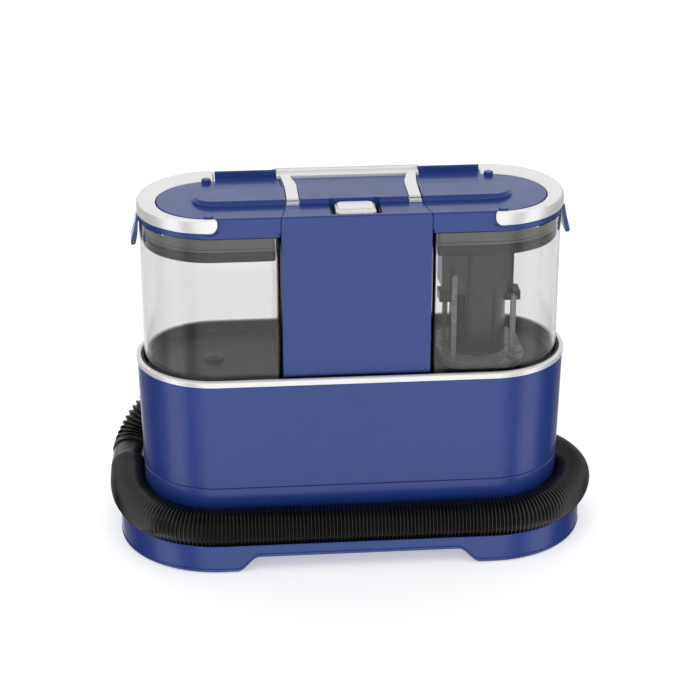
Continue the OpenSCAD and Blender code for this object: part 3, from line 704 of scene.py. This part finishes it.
def make_housing():
    z0, z1 = span("lower_housing", "z")
    r_top = span("lower_housing", "y")[1]
    r_low = r_top - 1.9
    wall = 2.4
    profile = [
        (r_low - wall, z0 + 0.2), (r_low - 0.9, z0), (r_low - 0.3, z0 + 0.25), (r_low, z0 + 0.9),
        (r_low + 0.35, 82), (r_low + 0.75, 100), (r_low + 1.15, 118), (r_low + 1.5, 138),
        (r_top, z1 - 0.3), (r_top - 0.3, z1), (r_top - wall, z1), (r_top - wall, 138),
        (r_low - wall + 0.7, 100),
    ]
    housing = even_slot("lower_housing_shell", profile, closed=True)
    port = span("hose_port", "z")
    grille_x, grille_z = span("exhaust_grille", "x"), span("exhaust_grille", "z")
    gland = span("mains_gland", "x"), span("mains_gland", "z")
    cut(
        housing,
        rear_gap(z0, z1),
        block("window", (grille_x[0] - 0.25, 40, grille_z[0] - 0.25),
              (grille_x[1] + 0.25, 80, grille_z[1] + 0.25)),
        rod("port", "y", (-80, 40, sum(port) / 2), 40, 18.2),
        rod("gland", "y", (sum(gland[0]) / 2, 40, sum(gland[1]) / 2), 40, 6.2),
    )
    place(soften(housing, 0.35, 2, 50), "blue_shell", "root", "lower_housing")

    z0, z1 = span("trim_ring", "z")
    r = span("trim_ring", "y")[1]
    profile = [
        (r - 3.6, z0), (r - 0.5, z0), (r - 0.12, z0 + 0.15), (r, z0 + 0.5), (r, z1 - 1.5),
        (r - 0.15, z1 - 0.9), (r - 0.5, z1 - 0.4), (r - 1.0, z1 - 0.1), (r - 1.6, z1),
        (r - 2.6, z1), (r - 3.2, z1 - 0.15), (r - 3.6, z1 - 0.6),
    ]
    ring = even_slot("trim_ring_band", profile, closed=True)
    cut(ring, rear_gap(z0, z1))
    place(soften(ring, 0, angle=40), "silver_trim", "root", "trim_ring")


def make_well():
    z0, z1 = span("tank_well", "z")
    r = 59.6
    floor = z0 + 2.5
    profile = [
        (20, z0), (r - 0.6, z0), (r, z0 + 0.6), (r, z1 - 0.3), (r - 0.3, z1), (r - 1.6, z1),
        (r - 1.9, z1 - 0.3), (r - 1.9, floor + 2.5), (r - 2.6, floor + 0.8), (r - 4.4, floor),
        (20, floor),
    ]
    well = even_slot("tank_well_tray", profile)
    centre_y = sum(span("fan_housing", "y")) / 2
    inlet = span("suction_duct", "x")[1] - 16
    outlet = sum(span("valve_socket", "x")) / 2
    cut(
        well,
        rod("motor", "z", (0, centre_y, 100), 100, 44),
        rod("inlet", "z", (inlet, 0, 100), 100, 16.3),
        rod("outlet", "z", (outlet, 0, 100), 100, 12.2),
        rear_gap(z0, z1),
    )
    place(soften(well, 0, angle=40), "black_plastic", "root", "tank_well")


make_base()
make_pedestal()
make_housing()
make_well()

# ---------- centre column ----------

LID_Z = span("centre_cover", "z")[1]
BAND_Z = span("centre_panel", "z")[1]
FRONT_Y = span("centre_cover", "y")[0]
BAND_Y0, BAND_Y1 = -31.4, 1.9
HANDLE_IN = 42.2     # half width between the carry handle's arms


def band_solid(name, outline_at, z0=None):
    """Raised band: a steep dark face, a sloping chamfer, then the flat top."""
    z0 = LID_Z - 0.5 if z0 is None else z0
    levels = [
        (0, z0), (0, LID_Z + 1.5), (0.25, LID_Z + 1.9), (0.9, BAND_Z - 1.5), (1.9, BAND_Z - 0.35),
        (2.5, BAND_Z - 0.05), (3.1, BAND_Z),
    ]
    return stacked(name, [[(x, y, z) for x, y in outline_at(inset)] for inset, z in levels])


def make_centre():
    x = span("centre_cover", "x")[1]
    z0 = span("centre_cover", "z")[0]
    y1 = span("centre_cover", "y")[1]
    wall = -54.3 - FRONT_Y
    profile = [
        (FRONT_Y, z0), (FRONT_Y, LID_Z), (y1, LID_Z), (y1, LID_Z - 4.7),
        (FRONT_Y + wall, LID_Z - 4.7), (FRONT_Y + wall, z0),
    ]
    profile = rounded(profile, [0.3, 1.7, 0.6, 0.3, 0.6, 0.3], 5)
    cover = x_prism("centre_cover_shell", profile, -x, x)
    button_x = span("button_bezel", "x")[1] + 0.2
    button_y = span("button_bezel", "y")
    cut(cover, block("slot", (-button_x, button_y[0] - 0.2, LID_Z - 8),
                     (button_x, button_y[1] + 0.2, LID_Z + 5)))
    beyond = x + 5
    side_edge = [(seam(y), y) for y in range(-56, 57, 4)]
    outline = [(beyond, -60), (seam(-57), -60), *side_edge, (seam(57), 60), (beyond, 60)]
    for side in (-1, 1):
        cut(cover, prism("side", mirrored(outline, side), LID_Z - 2.1, LID_Z + 5))
    place(soften(cover, 0.2, 2), "blue_shell", "root", "centre_cover")

    half = HANDLE_IN - 0.5

    def outline_at(inset):
        return [(-half, BAND_Y0 + inset), (half, BAND_Y0 + inset),
                (half, BAND_Y1 - inset * 0.5), (-half, BAND_Y1 - inset * 0.5)]

    panel = band_solid("centre_panel_band", outline_at, LID_Z)
    rear_edge = [(flare(y, half, 4.4), y) for y in (2 + 27.6 * i / 14 for i in range(15))]
    outline = [(-half, BAND_Y1 - 2.5), (half, BAND_Y1 - 2.5), *rear_edge]
    outline += mirrored(reversed(rear_edge), -1)
    add(panel, prism("rear", outline, LID_Z, LID_Z + 0.8))
    cut(panel, block("slot", (-button_x, -40, LID_Z - 1),
                     (button_x, button_y[1] + 0.25, BAND_Z + 1)))
    place(soften(panel, 0.25, 2), "blue_shell", "root", "centre_panel")


def seam(y):
    """Half width at which the column's top meets the lids; it spreads to the front and the rear."""
    if y < -26:
        return 52.2 + 5.1 * min((-26 - y) / 31, 1) ** 1.7
    t = min(max((y - 2) / 54, 0), 1)
    return 52.2 + 5.1 * t ** 1.15


def flare(y, base, grow):
    """Half width of the rear panel and of the handle's arms, which spread towards the rear."""
    t = min(max((y - 3) / 32, 0), 1)
    return base + grow * t * t * (3 - 2 * t)


def make_button():
    lo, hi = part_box("button_bezel")
    x1, y0, y1 = hi.x / MM, lo.y / MM, hi.y / MM
    z0, z1 = lo.z / MM, hi.z / MM
    bezel = block("button_bezel_tray", (-x1, y0, z0), (x1, y1, z1))
    cut(bezel, block("inside", (-17.5, y0 - 5, z0 + 2), (17.5, y1 + 5, z1 + 5)),
        rod("stem_hole", "z", (0, (y0 + y1) / 2, z0 - 2), 10, 3.2))
    place(soften(bezel, 0.3, 2), "black_plastic", "root", "button_bezel")

    x = span("power_button", "x")[1]
    y0, y1 = span("power_button", "y")
    z0, z1 = span("power_button", "z")

    def octagon(inset, front=0.0):
        a, b, c = x - inset, y0 + inset + front, y1 - inset
        k = 3.4 - inset * 0.4
        corners = [(-a + k, b), (a - k, b), (a, b + k), (a, c - k), (a - k, c), (-a + k, c),
                   (-a, c - k), (-a, b + k)]
        return rounded(corners, 1.0, 3)

    levels = [
        (0, 0, z1 - 9), (0, 0, z1 - 2.4), (0.35, 0, z1 - 1.9), (0.9, 0, z1 - 1.6),
        (1.5, 2.4, z1 - 1.55), (1.6, 2.6, z1 - 0.7), (1.9, 2.8, z1 - 0.25), (2.5, 3.1, z1),
    ]
    cap = stacked("power_button_cap", [
        lifted(octagon(inset, front), z) for inset, front, z in levels])
    stem = rod("stem", "z", (0, (y0 + y1) / 2, z0), z1 - 5 - z0, 3)
    add(cap, stem)
    place(soften(cap, 0, angle=40), "silver_trim", "power_button", "power_button")


def make_carry_handle():
    """Silver handle: two arms beside the centre panel, joined by a bar along the rear."""
    x_out = span("carry_handle", "x")[1]
    z0 = span("carry_handle", "z")[0]
    stations = [(-31.4, 1.7), (-30.9, 2.1), (-29.0, 3.2), (-27.4, 3.8), (-26.4, 3.97)]
    stations += [(y, 4.0) for y in (-25, -20, -10, *range(0, 28, 3))]
    stations += [(30, 3.9), (34, 3.4), (38, 2.9), (41, 2.9)]
    arms = []
    for side in (-1, 1):
        rings = []
        for y, height in stations:
            a, b = flare(y, HANDLE_IN, 4.8), seam(y) - 0.5
            top = z0 + height
            edge = min(0.7, height / 3)
            ring = [
                (a, z0), (b, z0), (b, top - edge), (b - edge * 0.3, top - edge * 0.3),
                (b - edge, top), (a + edge, top), (a + edge * 0.3, top - edge * 0.3),
                (a, top - edge),
            ]
            rings.append([(side * x, y, z) for x, z in ring])
        arms.append(stacked("arm", rings))
    bar = rounded([
        (30, z0), (56.4, z0), (56.2, z0 + 0.5), (42, 296.2), (40.6, 296.3), (39.9, 294.2),
        (39.3, 293.8), (30.5, 293.6), (30, 293.2),
    ], [0.2, 0.2, 0.4, 1.2, 0.8, 0.4, 0.4, 0.3, 0.2], 5)
    grip = x_prism("carry_handle_grip", bar, -x_out, x_out)
    for arm in arms:
        add(grip, arm)
    hollow = rounded([(36, z0 - 1), (50, z0 - 1), (47, z0 + 1.2), (38, z0 + 1.2)], 0.6, 4)
    cut(grip, x_prism("hollow", hollow, -x_out + 10, x_out - 10),
        rod("pin_hole", "x", (-60, -28.9, z0 + 2.0), 120, 1.25, 24))
    place(soften(grip, 0.45, 3, 30), "silver_trim", "carry_handle", "carry_handle")


make_centre()
make_button()
make_carry_handle()

# ---------- tanks ----------

TANK_R = span("dirty_tank", "y")[1]
TANK_X0 = span("dirty_tank", "x")[0]
TANK_Z0, TANK_Z1 = 148.5, span("dirty_tank", "z")[1]
TANK_WALL = 2.2
PIPE_X = 101.5       # the dirty tank's standpipe


def make_tank(name, side, node, hole_x, hole_r):
    """Clear tank open at the top, with a dark floor; the clean one has a spout underneath."""
    corner = 3.5

    def ring(inset, z):
        outline = tank_outline(TANK_X0 + inset, TANK_R - inset, max(corner - inset, 0.6))
        return lifted(mirrored(outline, side), z)

    outer = [(4, TANK_Z0), (1.6, TANK_Z0), (0.7, TANK_Z0 + 0.3), (0.2, TANK_Z0 + 0.9),
             (0, TANK_Z0 + 1.8), (0, TANK_Z1 - 0.4), (0.4, TANK_Z1)]
    inner = [(TANK_WALL - 0.4, TANK_Z1), (TANK_WALL, TANK_Z1 - 0.4), (TANK_WALL, TANK_Z0 + 4.6),
             (TANK_WALL + 0.5, TANK_Z0 + 3.4), (TANK_WALL + 1.5, TANK_Z0 + 2.7), (5, TANK_Z0 + 2.5)]
    tank = stacked(name, [ring(*row) for row in outer + inner])
    cut(tank, rod("hole", "z", (hole_x, 0, TANK_Z0 - 10), 20, hole_r))
    if side < 0:
        add(tank, hollow_turned("spout", hole_x, 141, TANK_Z0 + 0.3, 8.6, 6.4))
    place(soften(tank, 0, angle=40), "clear_tank", node, node)
    tank.data.materials.append(MATERIALS["black_plastic"])
    for polygon in tank.data.polygons:
        if polygon.center.z < (TANK_Z0 + 2.8) * MM:
            polygon.material_index = 1


def hollow_turned(name, x, z0, z1, outer, inner, steps=48):
    """A short pipe standing on z0."""
    rings = []
    turns = [2 * math.pi * i / steps for i in range(steps)]
    for r, z in ((inner, z0), (outer, z0), (outer, z1), (inner, z1)):
        rings.append([(x + r * math.cos(a), r * math.sin(a), z) for a in turns])
    return stacked(name, rings, closed=True)


def make_standpipe():
    """Smoke-grey pipe in the dirty tank, with a hood and the bar that guides the float."""
    x0, x1 = 70, 127
    half = span("dirty_standpipe", "y")[1]
    z0, z1 = span("dirty_standpipe", "z")
    hood_z0 = 208
    hood_half = 19
    corners = [(x0, hood_z0 + 5), (x0 + 6, hood_z0), (x1, hood_z0), (x1, z1), (x0, z1)]
    outline = rounded(corners, [1, 1, 2, 2, 2], 4)
    hood = y_prism("dirty_standpipe_hooded", outline, -hood_half, hood_half)
    cut(hood, block(
        "inside", (x0 + 2, -hood_half + 2, hood_z0 - 2), (x1 - 2, hood_half - 2, z1 - 2)))
    pipe = turned("pipe", "z", (PIPE_X, 0, z0), [
        (0, half - 0.4), (0.5, half), (12, half - 0.1), (z1 - z0 - 1, half - 1.0)], 64)
    bar = block("bar", (x0, -8, 197.5), (135, 8, 205))
    add(hood, pipe, bar)
    cut(hood, rod("bore", "z", (PIPE_X, 0, z0 - 1), z1 - z0 - 1, 16),
        block("windows", (x0 + 2, -10, 232), (x1 - 2, 10, 246)))
    place(soften(hood, 0.5, 3), "smoke_plastic", "dirty_tank", "dirty_standpipe")


def make_float():
    """White raft round the standpipe with a rail at each corner."""
    x0, x1 = span("dirty_float", "x")
    y1 = span("dirty_float", "y")[1]
    z0, z1 = span("dirty_float", "z")
    outline = rounded([(x0, -y1), (x1, -y1), (x1, y1), (x0, y1)], 22, 12)
    plate = prism("dirty_float_raft", outline, z0, z0 + 5.2)
    for x, top in ((79, z1), (126, 210)):
        corners = [(x - 2, z0 + 3), (x + 2, z0 + 3), (x + 2, top), (x - 2, top)]
        side_view = rounded(corners, [0, 0, 1.9, 1.9], 5)
        for y in (-27, 27):
            add(plate, y_prism("rail", side_view, y - 2, y + 2))
    cut(plate, rod("hole", "z", (PIPE_X, 0, z0 - 5), 90, 23.4))
    place(soften(plate, 0.5, 3), "white_plastic", "dirty_float", "dirty_float")


make_tank("clean_tank_shell", -1, "clean_tank", -110, 4.3)
make_tank("dirty_tank_shell", 1, "dirty_tank", PIPE_X, 15.5)
make_standpipe()
make_float()

# ---------- lids ----------

PIVOT_X, PIVOT_Z = 111.2, 285.2
LATCH_X, LATCH_Z, LATCH_W = 165.2, 277.4, 22
LID_X0 = TANK_X0 - 0.6
BAND_X0 = span("dirty_lid", "x")[0]
TOP_Y = -12.3
LID_Z0 = span("dirty_lid", "z")[0]
FLANGE_Z = 279.2
BAIL_RI = 43.6
SEAM_GAP = 0.55
RAIL_SLOPE = [(53, 290.6), (39, 296.0), (37.2, 296.4), (36.5, 295.4)]
BAIL_RO = span("dirty_handle", "y")[1]


def make_lid(side, tank):
    """Lid with its raised band, rear rail, pin bosses and the step that the bail lies in."""
    body = tank + "_lid"
    end = PIVOT_X - 6.1
    across = rounded(
        [(-TANK_R, FLANGE_Z - 1), (TANK_R, FLANGE_Z - 1), (TANK_R, 288.0), *RAIL_SLOPE,
         (36.5, LID_Z), (-TANK_R, LID_Z)],
        [0, 0, 1.2, 1.5, 0.4, 0.8, 0.4, 0.15, 1.9], 5)
    lid = x_prism(body + "_shell", across, side * LID_X0, side * end)
    seam_edge = [(seam(y) + SEAM_GAP, y) for y in range(-56, 57, 4)]
    side_plate = prism("plate", mirrored(
        [(LID_X0 + 1, -TANK_R + 0.6), *seam_edge, (LID_X0 + 1, TANK_R - 1)], side),
        LID_Z - 1.7, LID_Z)
    side_rail = x_prism(
        "side_rail",
        [(37.2, LID_Z - 1.7), (56, LID_Z - 1.7), (56, 289.4), *RAIL_SLOPE, (36.5, LID_Z - 0.5)],
        side * (seam(44) + SEAM_GAP), side * (LID_X0 + 1))
    flange = stacked("flange", [
        lifted(mirrored(tank_outline(LID_X0 + inset, TANK_R - inset, 2.5 - inset), side), z)
        for inset, z in ((0.4, LID_Z0), (0, LID_Z0 + 0.5), (0, FLANGE_Z - 0.4), (0.4, FLANGE_Z))])
    top = stacked("top", [
        lifted(mirrored(top_outline(LID_X0 + inset, BAIL_RI - 0.9 - inset), side), z)
        for inset, z in ((0, FLANGE_Z - 1), (0, LID_Z - 0.9), (0.25, LID_Z - 0.3), (0.8, LID_Z))])

    def outline_at(inset):
        mid, half = (BAND_Y0 + BAND_Y1) / 2, (BAND_Y1 - BAND_Y0) / 2
        tip = [(107.4 + (half - inset) * math.cos(math.radians(a)),
                mid + (half - inset) * math.sin(math.radians(a))) for a in range(-90, 91, 6)]
        start = BAND_X0 + 0.7
        return mirrored([(start, BAND_Y0 + inset), *tip, (start, BAND_Y1 - inset)], side)

    band = band_solid("band", outline_at)
    boss_edge = [(-0.9, 3.8), (-0.45, 3.65), (-0.12, 3.2), (0, 2.4)]
    bosses = []
    for y, top_z in ((-52.2, 292.2), (27.9, 293.8)):
        rows = [(0, 3.8)] + [(top_z + dz - LID_Z + 4, r) for dz, r in boss_edge]
        bosses.append(turned("boss", "z", (side * 112, y, LID_Z - 4), rows, 32))
    add(lid, side_plate, side_rail, flange, top, band, *bosses)
    inner = LID_X0 + 2.4
    roof = LID_Z - 2.6
    hollow_end = prism(
        "hollow", mirrored(top_outline(inner, BAIL_RI - 4), side), LID_Z0 - 1, roof)
    hollow_side = side_block(
        "hollow", side, (inner, -TANK_R + 2.4, LID_Z0 - 1), (end - 2.9, TANK_R - 2.4, roof))
    half = LATCH_W / 2 + 0.3
    notch = side_block(
        "notch", side, (LATCH_X - 1.7, -half, LID_Z0 - 1), (180, half, FLANGE_Z + 1))
    swing = [rod("swing", "y", (side * PIVOT_X, y, PIVOT_Z), reach, 8.2, 64)
             for y, reach in ((-60, 4.0), (31.6, 30))]
    cut(lid, hollow_end, hollow_side, notch, *swing)
    place(soften(lid, 0.3, 2, 34), "blue_shell", body, body)

    def layer(name, inset, wall, levels):
        """A band that fits in the tank's mouth: outer levels are (further inset, z)."""
        def ring(d, corner, z):
            return lifted(mirrored(tank_outline(TANK_X0 + d, TANK_R - d, corner), side), z)

        outside = [ring(inset + d, 2.5, z) for d, z in levels]
        inside = [ring(inset + wall, 1.5, z) for z in (levels[-1][1], levels[0][1])]
        return stacked(name, outside + inside, closed=True)

    z0, z1 = span(body + "_plug", "z")
    plug = layer(body + "_plug_band", 3.8, 2.6, [
        (0.5, z0), (0, z0 + 0.5), (0, z0 + 2.2), (0.5, z0 + 2.6), (0.5, z0 + 3.2),
        (0, z0 + 3.6), (0, z1)])
    place(soften(plug, 0, angle=40), "grey_plastic", body, body + "_plug")
    z0, z1 = span(body + "_seal", "z")
    lips = [(0.9, z0)]
    for k in range(2):
        z = z0 + 0.4 + 3.6 * k
        lips += [(0.7, z), (0.1, z + 1.2), (0, z + 1.6), (0.1, z + 2.0), (0.7, z + 3.0)]
    lips += [(0.7, z1)]
    seal = layer(body + "_seal_lips", 3.0, 4.0, lips)
    place(soften(seal, 0, angle=60), "rubber", body, body + "_seal")


def top_outline(x0, r):
    """The outline of the lid's top, whose round end is nearer the front than the tank's."""
    return [(x, y + TOP_Y) for x, y in tank_outline(x0, r)]


def side_block(name, side, low, high):
    """A block on the given side of the machine."""
    x0, x1 = sorted((side * low[0], side * high[0]))
    return block(name, (x0, *low[1:]), (x1, *high[1:]))


def make_bail(side, tank):
    """Silver bail handle: a crowned section swept round the lid's outer end, with round tips."""
    body = tank + "_handle"
    z0, z1 = span(body, "z")
    ro = BAIL_RO

    def ring_at(x, angle):
        """The bail's cross-section at an angle round the outer end, or at x along an arm."""
        c, d = math.cos(math.radians(angle)), math.sin(math.radians(angle))
        # The inner edge is a circle nearer the front than the outer edge.
        ri = TOP_Y * d + math.sqrt(BAIL_RI ** 2 - (TOP_Y * c) ** 2)
        wide = ro - ri
        k = min(1.0, wide / 15)
        section = [
            (ri, z0 + 0.5), (ri + 0.3, z0), (ro - 1.0, z0), (ro - 0.3, z0 + 0.5), (ro, z0 + 1.4),
            (ro, z0 + 5.0), (ro - 0.25 * k, z0 + 7.4), (ro - 0.8 * k, z0 + 9.0),
            (ro - 2.0 * k, z0 + 10.4), (ro - 3.6 * k, z1 - 0.2), (ro - 6.5 * k, z1),
            (ri + wide * 0.22, z1 - 0.05), (ri + wide * 0.09, z1 - 0.25), (ri + 0.1, z1 - 0.6),
            (ri, z1 - 1.3),
        ]
        if x is None:
            return [(side * (END_C + r * c), r * d, z) for r, z in section]
        return [(side * x, r * d, z) for r, z in section]

    tip_x = PIVOT_X - 5.7
    rings = [ring_at(x, -90) for x in (tip_x - 1, 107)]
    rings += [ring_at(None, -90 + 180 * i / 72) for i in range(73)]
    rings += [ring_at(x, 90) for x in (107, tip_x - 1)]
    bail = stacked(body + "_bail", rings)
    tip = arc(tip_x + 7, z0 + 7, 7, 270, 180, 10) + arc(tip_x + 2.6, z1 - 2.6, 2.6, 180, 90, 6)
    side_view = mirrored([(175, z0), *tip, (175, z1 + 1)], side)
    combine(bail, [y_prism("keep", side_view, -70, 70)], "INTERSECT")
    cut(bail, rod("pin_hole", "y", (side * PIVOT_X, -57.7, PIVOT_Z), 112, 2.25, 24))
    place(soften(bail, 0.5, 3, 34), "silver_trim", body, body)


def make_latch(side, tank):
    """Snap latch: a bent tab with a thick rounded lip at the bottom."""
    body = tank + "_latch"
    x, z = LATCH_X, LATCH_Z
    outline = [
        (x - 0.9, z + 0.8), (x + 1.9, z + 0.8), (x + 2.7, 273.5), (x + 3.9, 268), (x + 5.6, 262),
        (x + 6.8, 257), (x + 6.4, 254.6), (x + 4.6, 253.8), (x + 3.2, 255.4), (x + 2.3, 259),
        (x + 1.3, 264), (x + 0.8, 270), (x + 0.7, 274), (x - 0.9, 275.4),
    ]
    half = LATCH_W / 2
    tab = y_prism(body + "_tab", mirrored(rounded(outline, 0.7, 3), side), -half, half)
    add(tab, rod("pin", "y", (side * x, -half - 1.4, z), LATCH_W + 2.8, 0.8, 24))
    front_view = rounded(
        [(-half, 253.6), (half, 253.6), (half, 275), (half + 3, 275), (half + 3, 282),
         (-half - 3, 282), (-half - 3, 275), (-half, 275)], [5, 5, 0, 0, 0, 0, 0, 0], 8)
    a, b = sorted((side * 150, side * 180))
    combine(tab, [x_prism("corner", front_view, a, b)], "INTERSECT")
    place(soften(tab, 0.45, 3, 34), "blue_shell", body, body)


for lid_side, lid_tank in ((-1, "clean"), (1, "dirty")):
    make_lid(lid_side, lid_tank)
    make_bail(lid_side, lid_tank)
    make_latch(lid_side, lid_tank)

# ---------- pieces that keep their CAD shape ----------

FINISH = {
    "steel": [
        "base_screws", "button_spring", "carry_handle_pins", "rear_cover_screws", "vacuum_motor",
        "motor_shaft", "clean_handle_pins", "dirty_handle_pins"],
    "dark_plastic": [
        "column_frame", "tool_clip", "exhaust_grille", "fan_housing", "water_pump", "valve_socket",
        "suction_duct", "hose_port", "hose_cuff", "tool_handle", "spray_tip"],
    "black_plastic": ["power_switch", "tool_brush"],
    "rubber": ["mains_gland", "motor_mounts", "clean_valve"],
    "white_plastic": ["pump_inlet_tube", "pump_outlet_tube"],
    "blue_shell": ["rear_cover", "tool_trigger"],
    "clear_tank": ["tool_nozzle"],
    "circuit_board": ["control_board"],
    "filter_foam": ["exhaust_filter"],
    "aluminium": ["fan_impeller"],
}


def finish_cad():
    """Gives the pieces shown by their CAD mesh a finish and small rounded edges."""
    for slot, nodes in FINISH.items():
        for node in nodes:
            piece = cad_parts[node]
            piece.data.materials.clear()
            piece.data.materials.append(MATERIALS[slot])
            weld = piece.modifiers.new("weld", "WELD")
            weld.merge_threshold = 0.00001
            bevel = piece.modifiers.new("edges", "BEVEL")
            bevel.width = 0.0003
            bevel.segments = 2
            bevel.limit_method = "ANGLE"
            bevel.angle_limit = math.radians(40)
            bevel.use_clamp_overlap = True
            mesh = piece.data
            for polygon in mesh.polygons:
                polygon.use_smooth = True
            if mesh.has_custom_normals:
                mesh.attributes.remove(mesh.attributes["custom_normal"])
            mesh.set_sharp_from_angle(angle=math.radians(34))


finish_cad()

# ---------- studio ----------


def make_floor():
    bpy.ops.mesh.primitive_plane_add(size=14, location=(0, 0, 0))
    floor = bpy.context.object
    floor.name = "floor"
    g = Graph("floor", (0.8, 0.8, 0.8), 0.9)
    g.vary_color(g.noise(2, 2), (0.795, 0.795, 0.795), (0.805, 0.805, 0.805))
    g.set("Emission Color", (1, 1, 1, 1))
    g.set("Emission Strength", 0.42)
    floor.data.materials.append(g.material)
    floor.visible_glossy = False


def make_world():
    """An even studio, which glossy surfaces see as bright and dark stretches like soft boxes."""
    world = bpy.data.worlds.new("studio")
    bpy.context.scene.world = world
    world.use_nodes = True
    tree = world.node_tree
    tree.nodes.clear()
    new, link = tree.nodes.new, tree.links.new
    parts = new("ShaderNodeSeparateXYZ")
    link(new("ShaderNodeTexCoord").outputs["Generated"], parts.inputs[0])

    def maths(operation, first, second=None):
        node = new("ShaderNodeMath")
        node.operation = operation
        for socket, value in zip(node.inputs, (first, second)):
            if isinstance(value, (int, float)):
                socket.default_value = value
            elif value is not None:
                link(value, socket)
        return node.outputs[0]

    def mixed(factor, a, b):
        node = new("ShaderNodeMix")
        node.data_type = "RGBA"
        link(factor, node.inputs["Factor"])
        for name, value in (("A", a), ("B", b)):
            if isinstance(value, float):
                node.inputs[name].default_value = (value, value, value, 1)
            else:
                link(value, node.inputs[name])
        return node.outputs["Result"]

    def between(low, high):
        node = new("ShaderNodeMapRange")
        node.inputs["From Min"].default_value = low
        node.inputs["From Max"].default_value = high
        link(parts.outputs["Z"], node.inputs["Value"])
        return node.outputs["Result"]

    aside_x = maths("ABSOLUTE", parts.outputs["X"])
    turn = maths("ARCTAN2", aside_x, maths("MULTIPLY", parts.outputs["Y"], -1))
    ramp = new("ShaderNodeValToRGB")
    ramp.color_ramp.interpolation = "EASE"
    link(maths("DIVIDE", turn, math.pi), ramp.inputs[0])
    # Brightness by the angle in degrees away from the front.
    stops = [(0, 1.0), (18, 1.0), (40, 0.0), (60, 1.1), (72, 1.0), (92, 0.0), (118, 0.0),
             (132, 0.25), (150, 0.3), (162, 1.0), (180, 1.0)]
    elements = ramp.color_ramp.elements
    while len(elements) < len(stops):
        elements.new(0.5)
    for element, (angle, level) in zip(elements, stops):
        element.position = angle / 180
        element.color = (level / 2, level / 2, level / 2, 1)
    seen = mixed(between(-0.05, 0.12), ramp.outputs["Color"], 0.42)
    seen = mixed(between(0.5, 0.8), seen, 0.08)
    aside = new("ShaderNodeMapRange")
    aside.interpolation_type = "SMOOTHSTEP"
    aside.inputs["From Min"].default_value = 0.3
    aside.inputs["From Max"].default_value = 0.75
    link(aside_x, aside.inputs["Value"])
    even = mixed(aside.outputs["Result"], 0.62, 0.0)
    color = mixed(new("ShaderNodeLightPath").outputs["Is Glossy Ray"], even, seen)
    back = new("ShaderNodeBackground")
    back.inputs["Strength"].default_value = 2.0
    link(color, back.inputs["Color"])
    link(back.outputs[0], new("ShaderNodeOutputWorld").inputs["Surface"])


def soft_light(name, location, target, size, power):
    data = bpy.data.lights.new(name, "AREA")
    data.shape = "RECTANGLE"
    data.size, data.size_y = size
    data.energy = power
    light = bpy.data.objects.new(name, data)
    bpy.context.scene.collection.objects.link(light)
    light.location = location
    light.visible_glossy = False
    light.rotation_euler = (Vector(target) - Vector(location)).to_track_quat("-Z", "Y").to_euler()


make_floor()
make_world()
soft_light("key", (-1.1, -1.3, 1.7), (0, 0, 0.15), (1.4, 1.4), 9)
soft_light("fill", (1.5, -0.9, 1.2), (0, 0, 0.15), (1.2, 1.2), 4)
bpy.context.scene.view_settings.view_transform = "Standard"
